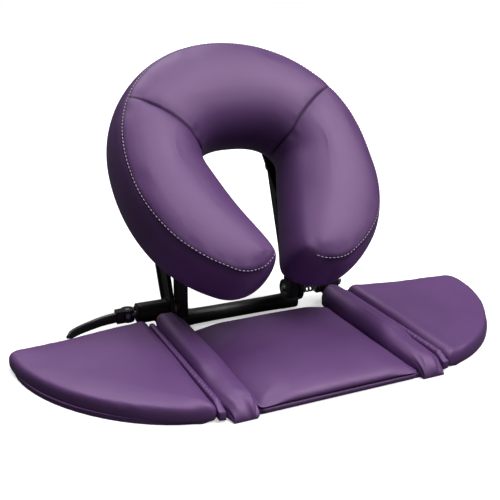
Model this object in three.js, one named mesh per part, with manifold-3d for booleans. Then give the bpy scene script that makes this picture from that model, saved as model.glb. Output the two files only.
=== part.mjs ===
// A bed-top face cradle: a horseshoe cushion on a tilting frame, held by a folding padded base.
// Millimetres, +X right, +Y towards the head end, +Z up.
// The origin lies on the underside of the centre board, in the middle of the base.
import * as THREE from 'three';
import Module from 'manifold-3d';
import { mergeVertices } from 'three/addons/utils/BufferGeometryUtils.js';

const wasm = await Module();
wasm.setup();

// Clearances shared by all pieces
const seat_gap = 0.3;
const cut_overrun = 2;
const fine_facets = 28;
const bolt_facets = 16;

// Base: three padded panels on boards, with a raised sleeve on each side of the middle one
const base_back = 114;
const base_front = -102.5;
const post_spacing = 228;
const board_thickness = 5;
const board_inset = 3;
const board_corner = 12;
const pad_height = 16;
const pad_crown = 4.2;
const pad_roll = 11;
const pad_tuck = 3.5;
const pad_corner = 13;
const centre_back_inset = 26;
const panel_gap = 0.8;
const wing_reach = 296;
const wing_front_inset = 6.5;
const wing_back_inset = 3;
const wing_tip_drop = 13;
const wing_tip_radius = 17;
const wing_fullness = 1.7;

// Sewn strip between a sleeve and its wing; the wing folds up on the strip's outer edge
const strip_width = 6;
const strip_low = 7.5;
const strip_top = 19;
const strip_round = 2.8;
const strip_front_inset = 5;
const hinge_gap = 0.4;
const hinge_height = 14;

// Sleeves: padded vinyl over a wooden rail with a steel post tube in it
const sleeve_inner_reach = 22;
const sleeve_outer_reach = 13;
const sleeve_back_reach = 14;
const sleeve_crest_inset = 1;
const sleeve_height = 27.5;
const sleeve_fullness = 2.3;
const sleeve_foot_height = 7;
const rail_length = 136;
const rail_width = 20;
const rail_height = 25.5;
const rail_round = 8;
const post_height = 15.6;
const tube_radius = 8;
const tube_bore = 6.8;
const tube_stickout = 2.5;
const bush_radius = 9.3;
const bush_length = 5.5;

// Post carriage: two posts with the heads that hold the swing frame's two clamp rods
const post_radius = 6.4;
const post_insertion = 150;
const head_radius = 12.2;
const head_socket_radius = 8.2;
const head_socket_length = 13;
const left_head_outer = -141;
const right_head_inner = 100;
const right_head_outer = 128;
const clamp_back = 20;
const clamp_height = 23;
const rod_radius = 3.4;
const rod_clearance = 0.4;
const nut_radius = 7.4;
const nut_length = 6;
const washer_radius = 10;
const washer_thickness = 1.4;
const rod_tail = 3;

// Swing frame: a moulded yoke with crossbar and uprights, and two flat arms that lean back
const cradle_middle = -14.5;
const arm_outer_span = 89;
const arm_thickness = 5;
const arm_foot_radius = 16.5;
const arm_head_radius = 10.6;
const arm_belly = 4.5;
const arm_rim = 4.2;
const arm_recess = 2.2;
const upright_thickness = 11.5;
const upright_half_depth = 9;
const upright_recess = 2;
const upright_rim = 3.6;
const crossbar_back = 12;
const crossbar_height = 10.6;
const crossbar_radius = 9.4;
const crossbar_flare = 0.5;
const crossbar_flare_length = 34;
const crossbar_collar = 0.4;
const crossbar_collar_length = 7;
const lug_radius = 12.6;
const slot_bolt_back = 12;
const slot_bolt_depth = 30.52;
const pocket_shares = [0.04, 0.62];

// Tilting platform, measured from the middle of the cushion's underside
const tilt_degrees = 46.5;
const cushion_ahead = 41.4;
const cushion_height = 166.8;
const arm_lean_degrees = 25.05;
const pivot_rise = 1.7;
const tilt_steeper = 4;
const tilt_flatter = 24;
const bracket_thickness = 3.5;
const bracket_lug_radius = 12;
const bracket_band = 8.5;
const bracket_flange = 15;
const bracket_flange_thickness = 3;
const bracket_window_near = 42.6;
const bracket_window_rim = 4.5;
const bracket_window_start_degrees = 2;
const bracket_window_end_degrees = 5;
const bracket_window_taper_degrees = 4;
const bracket_flange_share = 0.5;
const slot_bolt_radius = 3.4;
const slot_play = 0.5;
const pivot_bolt_radius = 3.9;
const pivot_head_radius = 6.2;
const pivot_head_length = 5;
const pivot_socket_radius = 3;
const pivot_socket_depth = 3;
const pivot_washer_thickness = 1.2;
const screw_head_radius = 3.6;
const screw_head_height = 2.2;
const screws_per_bracket = 3;

// Cushion and the board below it
const cushion_middle = -4;
const cushion_width = 320;
const cushion_above = 159;
const cushion_below = 170;
const cushion_upper_fullness = 2.05;
const cushion_lower_fullness = 2.4;
const hole_half_width = 49;
const hole_top = 31;
const hole_fullness = 2.6;
const mouth_half_gap = 7.5;
const mouth_level = 128;
const lobe_shift = 5;
const lobe_middle = 62;
const cushion_seam_height = 61;
const cushion_shoulder_height = 71;
const cushion_crown_height = 78.5;
const cushion_bottom_inset = 18;
const cushion_seam_inset = 6.5;
const cushion_seam_groove = 1.3;
const cushion_top_inset = 20;
const cushion_channel = 3;
const cushion_channel_share = 0.36;
const loop_backing_thickness = 0.9;
const hook_strip_thickness = 1.2;
const hook_strip_width = 38;
const plate_thickness = 3;
const plate_rim_depth = 8;
const plate_rim_wall = 3;
const plate_inset = 25;
const backing_inset = 20.5;
const plate_middle = -9;
const plate_rib_turns = [0, 0.34, -0.34];
const plate_pad_margin = 3;
const plate_rib_wall = 2.4;

// Cam lever at the left end of the clamp rod
const cam_pin_radius = 2.5;
const cam_radius = 8.2;
const cam_offset = 1.1;
const cam_cheek = 3.6;
const rod_eye_half_height = 3.5;
const rod_eye_radius = 5.2;
const lever_length = 69;
const lever_height = 11;
const lever_thickness = 5.5;
const lever_sweep = 22;
const lever_droop = 5;
const lever_bridge = 9;
const lever_section_fullness = 0.55;
const lever_tip_share = 0.86;
const lever_tip_thinness = 0.12;
const lever_height_shares = [1.15, 0.86];
const lever_thickness_shares = [1.25, 0.85];

// Clamp spring on the right rod
const spring_wire = 1.35;
const spring_mean_radius = 8.6;
const spring_turns = 4;
const spring_steps = 8;
const spring_sides = 5;

// Derived places
const sleeve_edge = post_spacing / 2 + sleeve_outer_reach;
const centre_half_width = post_spacing / 2 - sleeve_inner_reach - panel_gap;
const wing_front = base_front + wing_front_inset;
const rail_front = base_back - rail_length;
const clamp_y = base_back + clamp_back;
const crossbar_y = base_back + crossbar_back;
const slot_bolt_y = base_back + slot_bolt_back;
const pivot_height = cushion_height + pivot_rise;
const arm_lean = THREE.MathUtils.degToRad(arm_lean_degrees);
const pivot_y = clamp_y + (pivot_height - clamp_height) * Math.tan(arm_lean);
const tilt = THREE.MathUtils.degToRad(tilt_degrees);
const cushion_y = pivot_y - cushion_ahead;
const slot_bolt_height = cushion_height
  + ((slot_bolt_y - cushion_y) * Math.sin(tilt) - slot_bolt_depth) / Math.cos(tilt);
const strip_inner = sleeve_edge + seat_gap;
const hinge_x = strip_inner + strip_width + hinge_gap / 2;
const wing_inner = strip_inner + strip_width + hinge_gap;
const floor_board_top = board_thickness + seat_gap;
const bracket_outer_span = arm_outer_span - arm_thickness - seat_gap;
const bracket_inner_span = bracket_outer_span - bracket_thickness;
const upright_outer_span = bracket_inner_span - seat_gap;

const finishes = {
  vinyl: { color: 0x5c3f70, roughness: 0.38, metalness: 0 },
  board: { color: 0x8a6a48, roughness: 0.8, metalness: 0 },
  moulding: { color: 0x1b1b1c, roughness: 0.45, metalness: 0 },
  coated: { color: 0x232324, roughness: 0.4, metalness: 0.6 },
  steel: { color: 0x9a9c9f, roughness: 0.3, metalness: 1 },
  chrome: { color: 0xd0d2d5, roughness: 0.12, metalness: 1 },
  nylon: { color: 0x303032, roughness: 0.55, metalness: 0 },
  hook: { color: 0x141415, roughness: 0.95, metalness: 0 },
};

const model = new THREE.Group();
const platform = new THREE.Group();
platform.position.set(0, cushion_y, cushion_height);
platform.rotation.x = tilt;
model.add(platform);

function add(name, geometry, finish, parent = model) {
  const mesh = new THREE.Mesh(geometry, new THREE.MeshStandardMaterial(finishes[finish]));
  mesh.name = name;
  parent.add(mesh);
  return mesh;
}

// Turn a closed geometry into a solid that can be joined and cut
function solid(geometry) {
  const plain = geometry.clone();
  plain.deleteAttribute('normal');
  plain.deleteAttribute('uv');
  const merged = mergeVertices(plain);
  const mesh = new wasm.Mesh({
    numProp: 3,
    vertProperties: new Float32Array(merged.attributes.position.array),
    triVerts: new Uint32Array(merged.index.array),
  });
  return new wasm.Manifold(mesh);
}

function surface(body) {
  const mesh = body.getMesh();
  const geometry = new THREE.BufferGeometry();
  geometry.setAttribute('position', new THREE.BufferAttribute(new Float32Array(mesh.vertProperties), 3));
  geometry.setIndex(new THREE.BufferAttribute(new Uint32Array(mesh.triVerts), 1));
  return geometry;
}

function joined(...geometries) {
  return geometries.map(solid).reduce((all, next) => all.add(next));
}

function cut(body, ...geometries) {
  return geometries.map(solid).reduce((left, tool) => left.subtract(tool), body);
}

// A round bar along X between two X values
function barX(radius, from, to, y, z, facets = bolt_facets) {
  const geometry = new THREE.CylinderGeometry(radius, radius, to - from, facets);
  geometry.rotateZ(-Math.PI / 2);
  geometry.translate((from + to) / 2, y, z);
  return geometry;
}

function barY(radius, from, to, x, z, facets = bolt_facets) {
  const geometry = new THREE.CylinderGeometry(radius, radius, to - from, facets);
  geometry.translate(x, (from + to) / 2, z);
  return geometry;
}

function barZ(radius, from, to, x, y, facets = bolt_facets) {
  const geometry = new THREE.CylinderGeometry(radius, radius, to - from, facets);
  geometry.rotateX(Math.PI / 2);
  geometry.translate(x, y, (from + to) / 2);
  return geometry;
}

// A ring along X: outer radius, bore, and its two ends
function ringX(radius, bore, from, to, y, z, facets = bolt_facets) {
  const profile = [
    new THREE.Vector2(bore, 0),
    new THREE.Vector2(radius, 0),
    new THREE.Vector2(radius, to - from),
    new THREE.Vector2(bore, to - from),
    new THREE.Vector2(bore, 0),
  ];
  const geometry = new THREE.LatheGeometry(profile, facets);
  geometry.rotateZ(-Math.PI / 2);
  geometry.translate(from, y, z);
  return geometry;
}

// A slab of an XY outline between two heights
function slab(shape, low, high) {
  const geometry = new THREE.ExtrudeGeometry(shape, {
    depth: high - low, bevelEnabled: false, curveSegments: 8,
  });
  geometry.translate(0, 0, low);
  return geometry;
}

// A plate whose outline is drawn in YZ, between two X values
function plateYZ(shape, from, to, segments = 8) {
  const geometry = new THREE.ExtrudeGeometry(shape, {
    depth: to - from, bevelEnabled: false, curveSegments: segments,
  });
  const axes = new THREE.Matrix4().makeBasis(
    new THREE.Vector3(0, 1, 0), new THREE.Vector3(0, 0, 1), new THREE.Vector3(1, 0, 0));
  geometry.applyMatrix4(axes);
  geometry.translate(from, 0, 0);
  return geometry;
}

// A run of an XZ outline between two Y values
function runY(shape, from, to, segments = 6) {
  const geometry = new THREE.ExtrudeGeometry(shape, {
    depth: to - from, bevelEnabled: false, curveSegments: segments,
  });
  geometry.rotateX(Math.PI / 2);
  geometry.translate(0, to, 0);
  return geometry;
}

function roundedRectangle(left, right, low, high, radius) {
  const shape = new THREE.Shape();
  shape.moveTo(left + radius, low);
  shape.lineTo(right - radius, low);
  shape.quadraticCurveTo(right, low, right, low + radius);
  shape.lineTo(right, high - radius);
  shape.quadraticCurveTo(right, high, right - radius, high);
  shape.lineTo(left + radius, high);
  shape.quadraticCurveTo(left, high, left, high - radius);
  shape.lineTo(left, low + radius);
  shape.quadraticCurveTo(left, low, left + radius, low);
  return shape;
}

function circle(x, y, radius) {
  const shape = new THREE.Shape();
  shape.absarc(x, y, radius, 0, Math.PI * 2, false);
  return shape;
}

// Build a closed mesh from rings of points, the first and last closed by a fan
function ringMesh(rings, first_middle, last_middle) {
  const count = rings[0].length;
  const points = rings.flat();
  const triangles = [];
  for (let level = 0; level + 1 < rings.length; level += 1) {
    for (let i = 0; i < count; i += 1) {
      const a = level * count + i;
      const b = level * count + ((i + 1) % count);
      triangles.push(a, b, b + count, a, b + count, a + count);
    }
  }
  const low = points.push(first_middle) - 1;
  const high = points.push(last_middle) - 1;
  const top = (rings.length - 1) * count;
  for (let i = 0; i < count; i += 1) {
    const next = (i + 1) % count;
    triangles.push(low, next, i);
    triangles.push(high, top + i, top + next);
  }
  const geometry = new THREE.BufferGeometry();
  geometry.setAttribute('position', new THREE.Float32BufferAttribute(points.flatMap((p) => p.toArray()), 3));
  geometry.setIndex(triangles);
  return geometry;
}

// A padded panel: its outline is drawn in at the bottom, rolls over at the top and crowns to the middle
function paddedPanel(outline, low, count = 52) {
  const flat = outline.getSpacedPoints(count).slice(0, count);
  if (THREE.ShapeUtils.area(flat) < 0) flat.reverse();
  const box = new THREE.Box2().setFromPoints(flat);
  const middle = box.getCenter(new THREE.Vector2());
  const half = box.getSize(new THREE.Vector2()).multiplyScalar(0.5);
  const ring = (inset, z) => flat.map((p) => new THREE.Vector3(
    middle.x + (p.x - middle.x) * (1 - inset / half.x),
    middle.y + (p.y - middle.y) * (1 - inset / half.y), z));
  const shoulder = pad_height - pad_crown;
  const rings = [ring(pad_tuck, low)];
  const side_shares = [[0.35, 0.2], [0, 0.5], [0.12, 0.76], [0.42, 0.92], [1, 1]];
  for (const [inset_share, height_share] of side_shares) {
    rings.push(ring(pad_roll * inset_share, low + shoulder * height_share));
  }
  const crown_shares = [0.3, 0.55, 0.8];
  const reach = Math.min(half.x, half.y) - pad_roll;
  for (const share of crown_shares) {
    const rise = pad_crown * Math.sin(share * Math.PI / 2);
    rings.push(ring(pad_roll + reach * share, low + shoulder + rise));
  }
  return ringMesh(rings,
    new THREE.Vector3(middle.x, middle.y, low),
    new THREE.Vector3(middle.x, middle.y, low + pad_height));
}

// Outline of the centre panel
function centreOutline() {
  return roundedRectangle(-centre_half_width, centre_half_width, base_front, base_back - centre_back_inset,
    board_corner);
}

// The board below it runs on under both sleeves and reaches back as a tongue below each rail
function floorOutline(grow) {
  const half = sleeve_edge - board_inset + grow;
  const tongue = post_spacing / 2 - sleeve_back_reach + seat_gap;
  const front = base_front + board_inset - grow;
  const middle_back = base_back - centre_back_inset - board_inset + grow;
  const back = base_back - seat_gap + grow;
  const shape = new THREE.Shape();
  shape.moveTo(-half + board_corner, front);
  shape.lineTo(half - board_corner, front);
  shape.quadraticCurveTo(half, front, half, front + board_corner);
  shape.lineTo(half, back);
  shape.lineTo(tongue - grow, back);
  shape.lineTo(tongue - grow, middle_back);
  shape.lineTo(-tongue + grow, middle_back);
  shape.lineTo(-tongue + grow, back);
  shape.lineTo(-half, back);
  shape.lineTo(-half, front + board_corner);
  shape.quadraticCurveTo(-half, front, -half + board_corner, front);
  return shape;
}

// Outline of a wing on one side: straight at the hinge and back, a full curve round the front
function wingOutline(side, inset) {
  const hinge = wing_inner + inset;
  const reach = wing_reach - inset;
  const front = wing_front + inset;
  const back = base_back - wing_back_inset - inset;
  const tip = base_back - wing_back_inset - wing_tip_drop - inset;
  const shape = new THREE.Shape();
  const steps = 18;
  const at = (x, y) => [side * x, y];
  shape.moveTo(...at(hinge, back - pad_corner));
  shape.lineTo(...at(hinge, front + pad_corner));
  shape.quadraticCurveTo(...at(hinge, front), ...at(hinge + pad_corner, front));
  const power = 2 / wing_fullness;
  for (let i = 1; i <= steps; i += 1) {
    const angle = (Math.PI / 2) * (1 - i / steps);
    const x = hinge + (reach - hinge) * Math.cos(angle) ** power;
    const y = (tip - wing_tip_radius) - (tip - wing_tip_radius - front) * Math.sin(angle) ** power;
    if (x > hinge + pad_corner) shape.lineTo(...at(x, y));
  }
  shape.quadraticCurveTo(...at(reach, tip), ...at(reach - wing_tip_radius, tip + inset / 2));
  shape.lineTo(...at(hinge + pad_corner, back));
  shape.quadraticCurveTo(...at(hinge, back), ...at(hinge, back - pad_corner));
  return shape;
}

function makePanels() {
  add('centre_board', slab(floorOutline(0), 0, board_thickness), 'board');
  add('centre_pad', paddedPanel(centreOutline(), floor_board_top), 'vinyl');
  for (const [word, side] of [['left', -1], ['right', 1]]) {
    add(`${word}_wing_board`, slab(wingOutline(side, board_inset), 0, board_thickness), 'board');
    add(`${word}_wing_pad`, paddedPanel(wingOutline(side, 0), floor_board_top), 'vinyl');
    const ends = [side * strip_inner, side * (strip_inner + strip_width)];
    const section = roundedRectangle(Math.min(...ends), Math.max(...ends), strip_low, strip_top, strip_round);
    const strip = runY(section, wing_front + strip_front_inset, base_back - wing_back_inset);
    add(`${word}_hinge_strip`, strip, 'vinyl');
  }
}

// The wooden rail's section, standing on the floor board
function railSection(middle, grow) {
  const half = rail_width / 2 + grow;
  const top = rail_height + grow;
  const low = floor_board_top - grow;
  const shape = new THREE.Shape();
  shape.moveTo(middle - half, low);
  shape.lineTo(middle + half, low);
  shape.lineTo(middle + half, top - rail_round);
  shape.quadraticCurveTo(middle + half, top, middle + half - rail_round, top);
  shape.lineTo(middle - half + rail_round, top);
  shape.quadraticCurveTo(middle - half, top, middle - half, top - rail_round);
  shape.closePath();
  return shape;
}

// One ring of the sleeve's skin: low and wide towards the centre panel, steep towards the wing
function sleeveRing(side, y, inner_reach, outer_reach, height) {
  const steps = 16;
  const crest = post_spacing / 2 - sleeve_crest_inset;
  const power = 2 / sleeve_fullness;
  const foot = Math.min(sleeve_foot_height, height / 2);
  const ring = [new THREE.Vector3(side * (crest - inner_reach), y, 0)];
  for (let i = 0; i <= steps; i += 1) {
    const angle = Math.PI * (1 - i / steps);
    const reach = angle > Math.PI / 2 ? -inner_reach : outer_reach;
    const x = crest + reach * Math.abs(Math.cos(angle)) ** power;
    ring.push(new THREE.Vector3(side * x, y, foot + (height - foot) * Math.sin(angle) ** power));
  }
  ring.push(new THREE.Vector3(side * (crest + outer_reach), y, 0));
  return side > 0 ? ring : ring.reverse();
}

// The padded sleeve: full height over the rail, lower in front of it, its front end rolled to the ground
function makeSleeve(word, side) {
  const middle = side * post_spacing / 2;
  const inner = sleeve_inner_reach - sleeve_crest_inset;
  const inner_back = sleeve_back_reach - sleeve_crest_inset;
  const outer = sleeve_outer_reach + sleeve_crest_inset;
  const stations_shares = [
    [0, 0.9, 0.9, 0.3],
    [0.008, 0.97, 0.96, 0.52],
    [0.03, 1, 1, 0.7],
    [0.08, 1, 1, 0.78],
    [0.26, 1, 1, 0.83],
    [0.35, 1, 1, 0.93],
    [0.42, 1, 1, 1],
    [0.65, 1, 1, 1],
    [0.88, 1, 1, 1],
    [1, inner_back / inner, 1, 0.985],
  ];
  const rings = stations_shares.map(([along, inner_share, outer_share, tall]) => sleeveRing(
    side, THREE.MathUtils.lerp(base_front, base_back, along), inner * inner_share, outer * outer_share,
    sleeve_height * tall));
  const first = new THREE.Vector3(middle, base_front, sleeve_foot_height / 2);
  const last = new THREE.Vector3(middle, base_back, sleeve_foot_height / 2);
  const skin = solid(ringMesh(rings, first, last));
  const core = runY(railSection(middle, seat_gap), rail_front - seat_gap, base_back + cut_overrun);
  const floor_room = slab(floorOutline(seat_gap), -cut_overrun, floor_board_top);
  const tongue_room = new THREE.BoxGeometry(rail_width, cut_overrun * 2, floor_board_top);
  tongue_room.translate(middle, base_back, floor_board_top / 2);
  add(`${word}_sleeve`, surface(cut(skin, core, floor_room, tongue_room)), 'vinyl');

  const rail = joined(runY(railSection(middle, 0), rail_front, base_back - seat_gap));
  const bore = barY(tube_radius + seat_gap, rail_front - cut_overrun, base_back + cut_overrun, middle,
    post_height, fine_facets);
  add(`${word}_rail`, surface(cut(rail, bore)), 'board');
}

// Steel tube in the rail, and the plastic bush on its mouth that guides the post
function makePostTube(word, side) {
  const x = side * post_spacing / 2;
  const mouth = base_back + tube_stickout;
  const tube = cut(
    joined(barY(tube_radius, rail_front, mouth, x, post_height, fine_facets)),
    barY(tube_bore, rail_front - cut_overrun, mouth + cut_overrun, x, post_height, fine_facets));
  add(`${word}_post_tube`, surface(tube), 'steel');
  const bush_front = base_back + seat_gap;
  const bush_back = base_back + bush_length;
  const bush = cut(
    joined(barY(bush_radius, bush_front, bush_back, x, post_height, fine_facets)),
    barY(tube_radius + seat_gap, bush_front - cut_overrun, mouth + seat_gap, x, post_height, fine_facets),
    barY(post_radius + seat_gap, bush_front, bush_back + cut_overrun, x, post_height, fine_facets));
  add(`${word}_tube_bush`, surface(bush), 'nylon');
}

// Post and its head: a barrel along X with a socket for the post
function makePost(word, side, head_from, head_to) {
  const x = side * post_spacing / 2;
  const post_front = clamp_y - post_insertion;
  const post_back = clamp_y - rod_radius - rod_clearance - cut_overrun;
  add(`${word}_post`, barY(post_radius, post_front, post_back, x, post_height, fine_facets), 'steel');
  const socket_front = clamp_y - head_socket_length;
  const head = cut(
    joined(
      barX(head_radius, head_from, head_to, clamp_y, clamp_height, fine_facets),
      barY(head_socket_radius, socket_front, clamp_y, x, post_height, fine_facets)),
    barY(post_radius + seat_gap, socket_front - cut_overrun, post_back + seat_gap, x, post_height, fine_facets),
    barX(rod_radius + rod_clearance, head_from - cut_overrun, head_to + cut_overrun, clamp_y, clamp_height));
  add(`${word}_post_head`, surface(head), 'coated');
}

// Hexagon nut along X with a round bore for its rod
function nutX(thread_radius, from, to, y, z) {
  const hexagon = joined(barX(nut_radius, from, to, y, z, 6));
  return surface(cut(hexagon, barX(thread_radius + seat_gap, from - cut_overrun, to + cut_overrun, y, z)));
}

// Places along X of the two clamp stacks
const left_arm_outer = cradle_middle - arm_outer_span;
const left_arm_inner = left_arm_outer + arm_thickness;
const right_arm_outer = cradle_middle + arm_outer_span;
const right_arm_inner = right_arm_outer - arm_thickness;
const left_upright_outer = cradle_middle - upright_outer_span;
const left_upright_inner = left_upright_outer + upright_thickness;
const right_upright_outer = cradle_middle + upright_outer_span;
const right_upright_inner = right_upright_outer - upright_thickness;
const cam_washer_outer = left_head_outer - seat_gap - washer_thickness;
const cam_pin_x = cam_washer_outer - seat_gap - cam_radius - cam_offset;

function makeClampRods() {
  const left_nut_from = left_upright_inner - seat_gap - nut_length;
  const left_rod = joined(
    barX(rod_radius, cam_pin_x, left_upright_inner + rod_tail, clamp_y, clamp_height),
    barZ(rod_eye_radius, clamp_height - rod_eye_half_height, clamp_height + rod_eye_half_height, cam_pin_x,
      clamp_y, fine_facets));
  const eye = barZ(cam_pin_radius + seat_gap, clamp_height - cut_overrun * 4, clamp_height + cut_overrun * 4,
    cam_pin_x, clamp_y);
  add('left_clamp_rod', surface(cut(left_rod, eye)), 'steel');
  const left_nut = nutX(rod_radius, left_nut_from, left_nut_from + nut_length, clamp_y, clamp_height);
  add('left_clamp_nut', left_nut, 'steel');
  add('cam_washer', ringX(washer_radius, rod_radius + rod_clearance, cam_washer_outer,
    cam_washer_outer + washer_thickness, clamp_y, clamp_height, fine_facets), 'nylon');
  const cheek_reach = rod_eye_half_height + seat_gap + cam_cheek;
  const pin_ends = [clamp_height - cheek_reach, clamp_height + cheek_reach];
  add('cam_pin', barZ(cam_pin_radius, ...pin_ends, cam_pin_x, clamp_y), 'steel');

  const right_nut_from = right_upright_inner + seat_gap;
  const right_tail = right_head_outer + seat_gap + nut_length + rod_tail;
  const right_rod = barX(rod_radius, right_upright_inner - rod_tail, right_tail, clamp_y, clamp_height);
  add('right_clamp_rod', right_rod, 'steel');
  add('right_clamp_nut', nutX(rod_radius, right_head_outer + seat_gap, right_head_outer + seat_gap + nut_length,
    clamp_y, clamp_height), 'steel');
  add('right_inner_nut', nutX(rod_radius, right_nut_from, right_nut_from + nut_length, clamp_y, clamp_height),
    'steel');

  const washer = (from) => ringX(washer_radius, rod_radius + rod_clearance, from, from + washer_thickness,
    clamp_y, clamp_height, fine_facets);
  add('left_friction_washer', washer(left_arm_outer - seat_gap - washer_thickness), 'nylon');
  add('right_friction_washer', washer(right_arm_outer + seat_gap), 'nylon');
  add('left_spacer', ringX(lug_radius, rod_radius + rod_clearance, left_arm_inner + seat_gap,
    left_upright_outer - seat_gap, clamp_y, clamp_height, fine_facets), 'steel');
  add('right_spacer', ringX(lug_radius, rod_radius + rod_clearance, right_upright_outer + seat_gap,
    right_arm_inner - seat_gap, clamp_y, clamp_height, fine_facets), 'steel');
}

// Coil spring between the right arm's washer and the right post head, ends closed and square
function makeSpring() {
  const from = right_arm_outer + seat_gap * 2 + washer_thickness + spring_wire;
  const to = right_head_inner - seat_gap - spring_wire;
  const steps = spring_turns * spring_steps;
  const centre = (i) => {
    const angle = (2 * Math.PI * i) / spring_steps;
    return new THREE.Vector3(
      from + ((to - from) * i) / steps,
      clamp_y + spring_mean_radius * Math.cos(angle),
      clamp_height + spring_mean_radius * Math.sin(angle));
  };
  const rings = [];
  for (let i = 0; i <= steps; i += 1) {
    const here = centre(i);
    const along = centre(i + 1).sub(centre(i - 1)).normalize();
    const outward = new THREE.Vector3(0, here.y - clamp_y, here.z - clamp_height).normalize();
    const across = new THREE.Vector3().crossVectors(along, outward).normalize();
    const ring = [];
    for (let k = 0; k < spring_sides; k += 1) {
      const turn = (2 * Math.PI * k) / spring_sides;
      ring.push(here.clone()
        .addScaledVector(outward, spring_wire * Math.cos(turn))
        .addScaledVector(across, spring_wire * Math.sin(turn)));
    }
    rings.push(ring);
  }
  const pitch_gap = (to - from) / spring_turns - 2 * spring_wire;
  console.log(`clamp spring: least gap between turns ${pitch_gap.toFixed(2)} mm`);
  add('clamp_spring', ringMesh(rings, centre(0), centre(steps)), 'steel');
}

// Outline of a flat arm from the clamp rod to the pivot, in YZ, with a belly in its lower half
function armOutline(inset) {
  const foot = new THREE.Vector2(clamp_y, clamp_height);
  const head = new THREE.Vector2(pivot_y, pivot_height);
  const along = head.clone().sub(foot);
  const length = along.length();
  along.normalize();
  const across = new THREE.Vector2(-along.y, along.x);
  const foot_radius = arm_foot_radius - inset;
  const head_radius = arm_head_radius - inset;
  const steps = 10;
  const half_width = (share) => {
    const taper = THREE.MathUtils.lerp(foot_radius, head_radius, share);
    return taper + arm_belly * Math.sin(Math.PI * share ** 0.75);
  };
  const start = Math.atan2(along.y, along.x);
  const points = [];
  const arc = (middle, radius, from, sweep) => {
    for (let i = 0; i <= steps; i += 1) {
      const angle = from + (sweep * i) / steps;
      points.push(new THREE.Vector2(middle.x + radius * Math.cos(angle), middle.y + radius * Math.sin(angle)));
    }
  };
  const flank = (from, to, sign) => {
    for (let i = 1; i < steps; i += 1) {
      const share = THREE.MathUtils.lerp(from, to, i / steps);
      points.push(foot.clone().addScaledVector(along, length * share)
        .addScaledVector(across, sign * half_width(share)));
    }
  };
  arc(foot, foot_radius, start + Math.PI / 2, Math.PI);
  flank(0, 1, -1);
  arc(head, head_radius, start - Math.PI / 2, Math.PI);
  flank(1, 0, 1);
  return new THREE.Shape(points);
}

// Flat arm with a raised rim round a shallow recess on its outer face, and a boss at each end
function makeArm(word, side) {
  const outer = cradle_middle + side * arm_outer_span;
  const inner = outer - side * arm_thickness;
  const from = Math.min(outer, inner);
  const to = Math.max(outer, inner);
  const body = joined(plateYZ(armOutline(0), from, to));
  const recess_from = side > 0 ? outer - arm_recess : outer - cut_overrun;
  const recess_to = side > 0 ? outer + cut_overrun : outer + arm_recess;
  const recess = cut(joined(plateYZ(armOutline(arm_rim), recess_from, recess_to)),
    barX(arm_foot_radius - arm_rim / 2, recess_from - cut_overrun, recess_to + cut_overrun, clamp_y,
      clamp_height, fine_facets),
    barX(arm_head_radius - arm_rim / 2, recess_from - cut_overrun, recess_to + cut_overrun, pivot_y,
      pivot_height, fine_facets));
  const bored = cut(body.subtract(recess),
    barX(rod_radius + rod_clearance, from - cut_overrun, to + cut_overrun, clamp_y, clamp_height),
    barX(pivot_bolt_radius + seat_gap, from - cut_overrun, to + cut_overrun, pivot_y, pivot_height));
  add(`${word}_arm`, surface(bored), 'coated');
}

// An upright's outline in YZ: crossbar end, clamp lug and a round top at the slot bolt
function uprightOutline(inset) {
  const half = upright_half_depth - inset;
  const shape = new THREE.Shape();
  const low = crossbar_height;
  shape.moveTo(crossbar_y + half, low);
  shape.lineTo(crossbar_y + half, slot_bolt_height);
  shape.absarc(slot_bolt_y, slot_bolt_height, half, 0, Math.PI, false);
  shape.lineTo(crossbar_y - half, low);
  shape.absarc(crossbar_y, low, half, Math.PI, Math.PI * 2, false);
  return shape;
}

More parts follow.
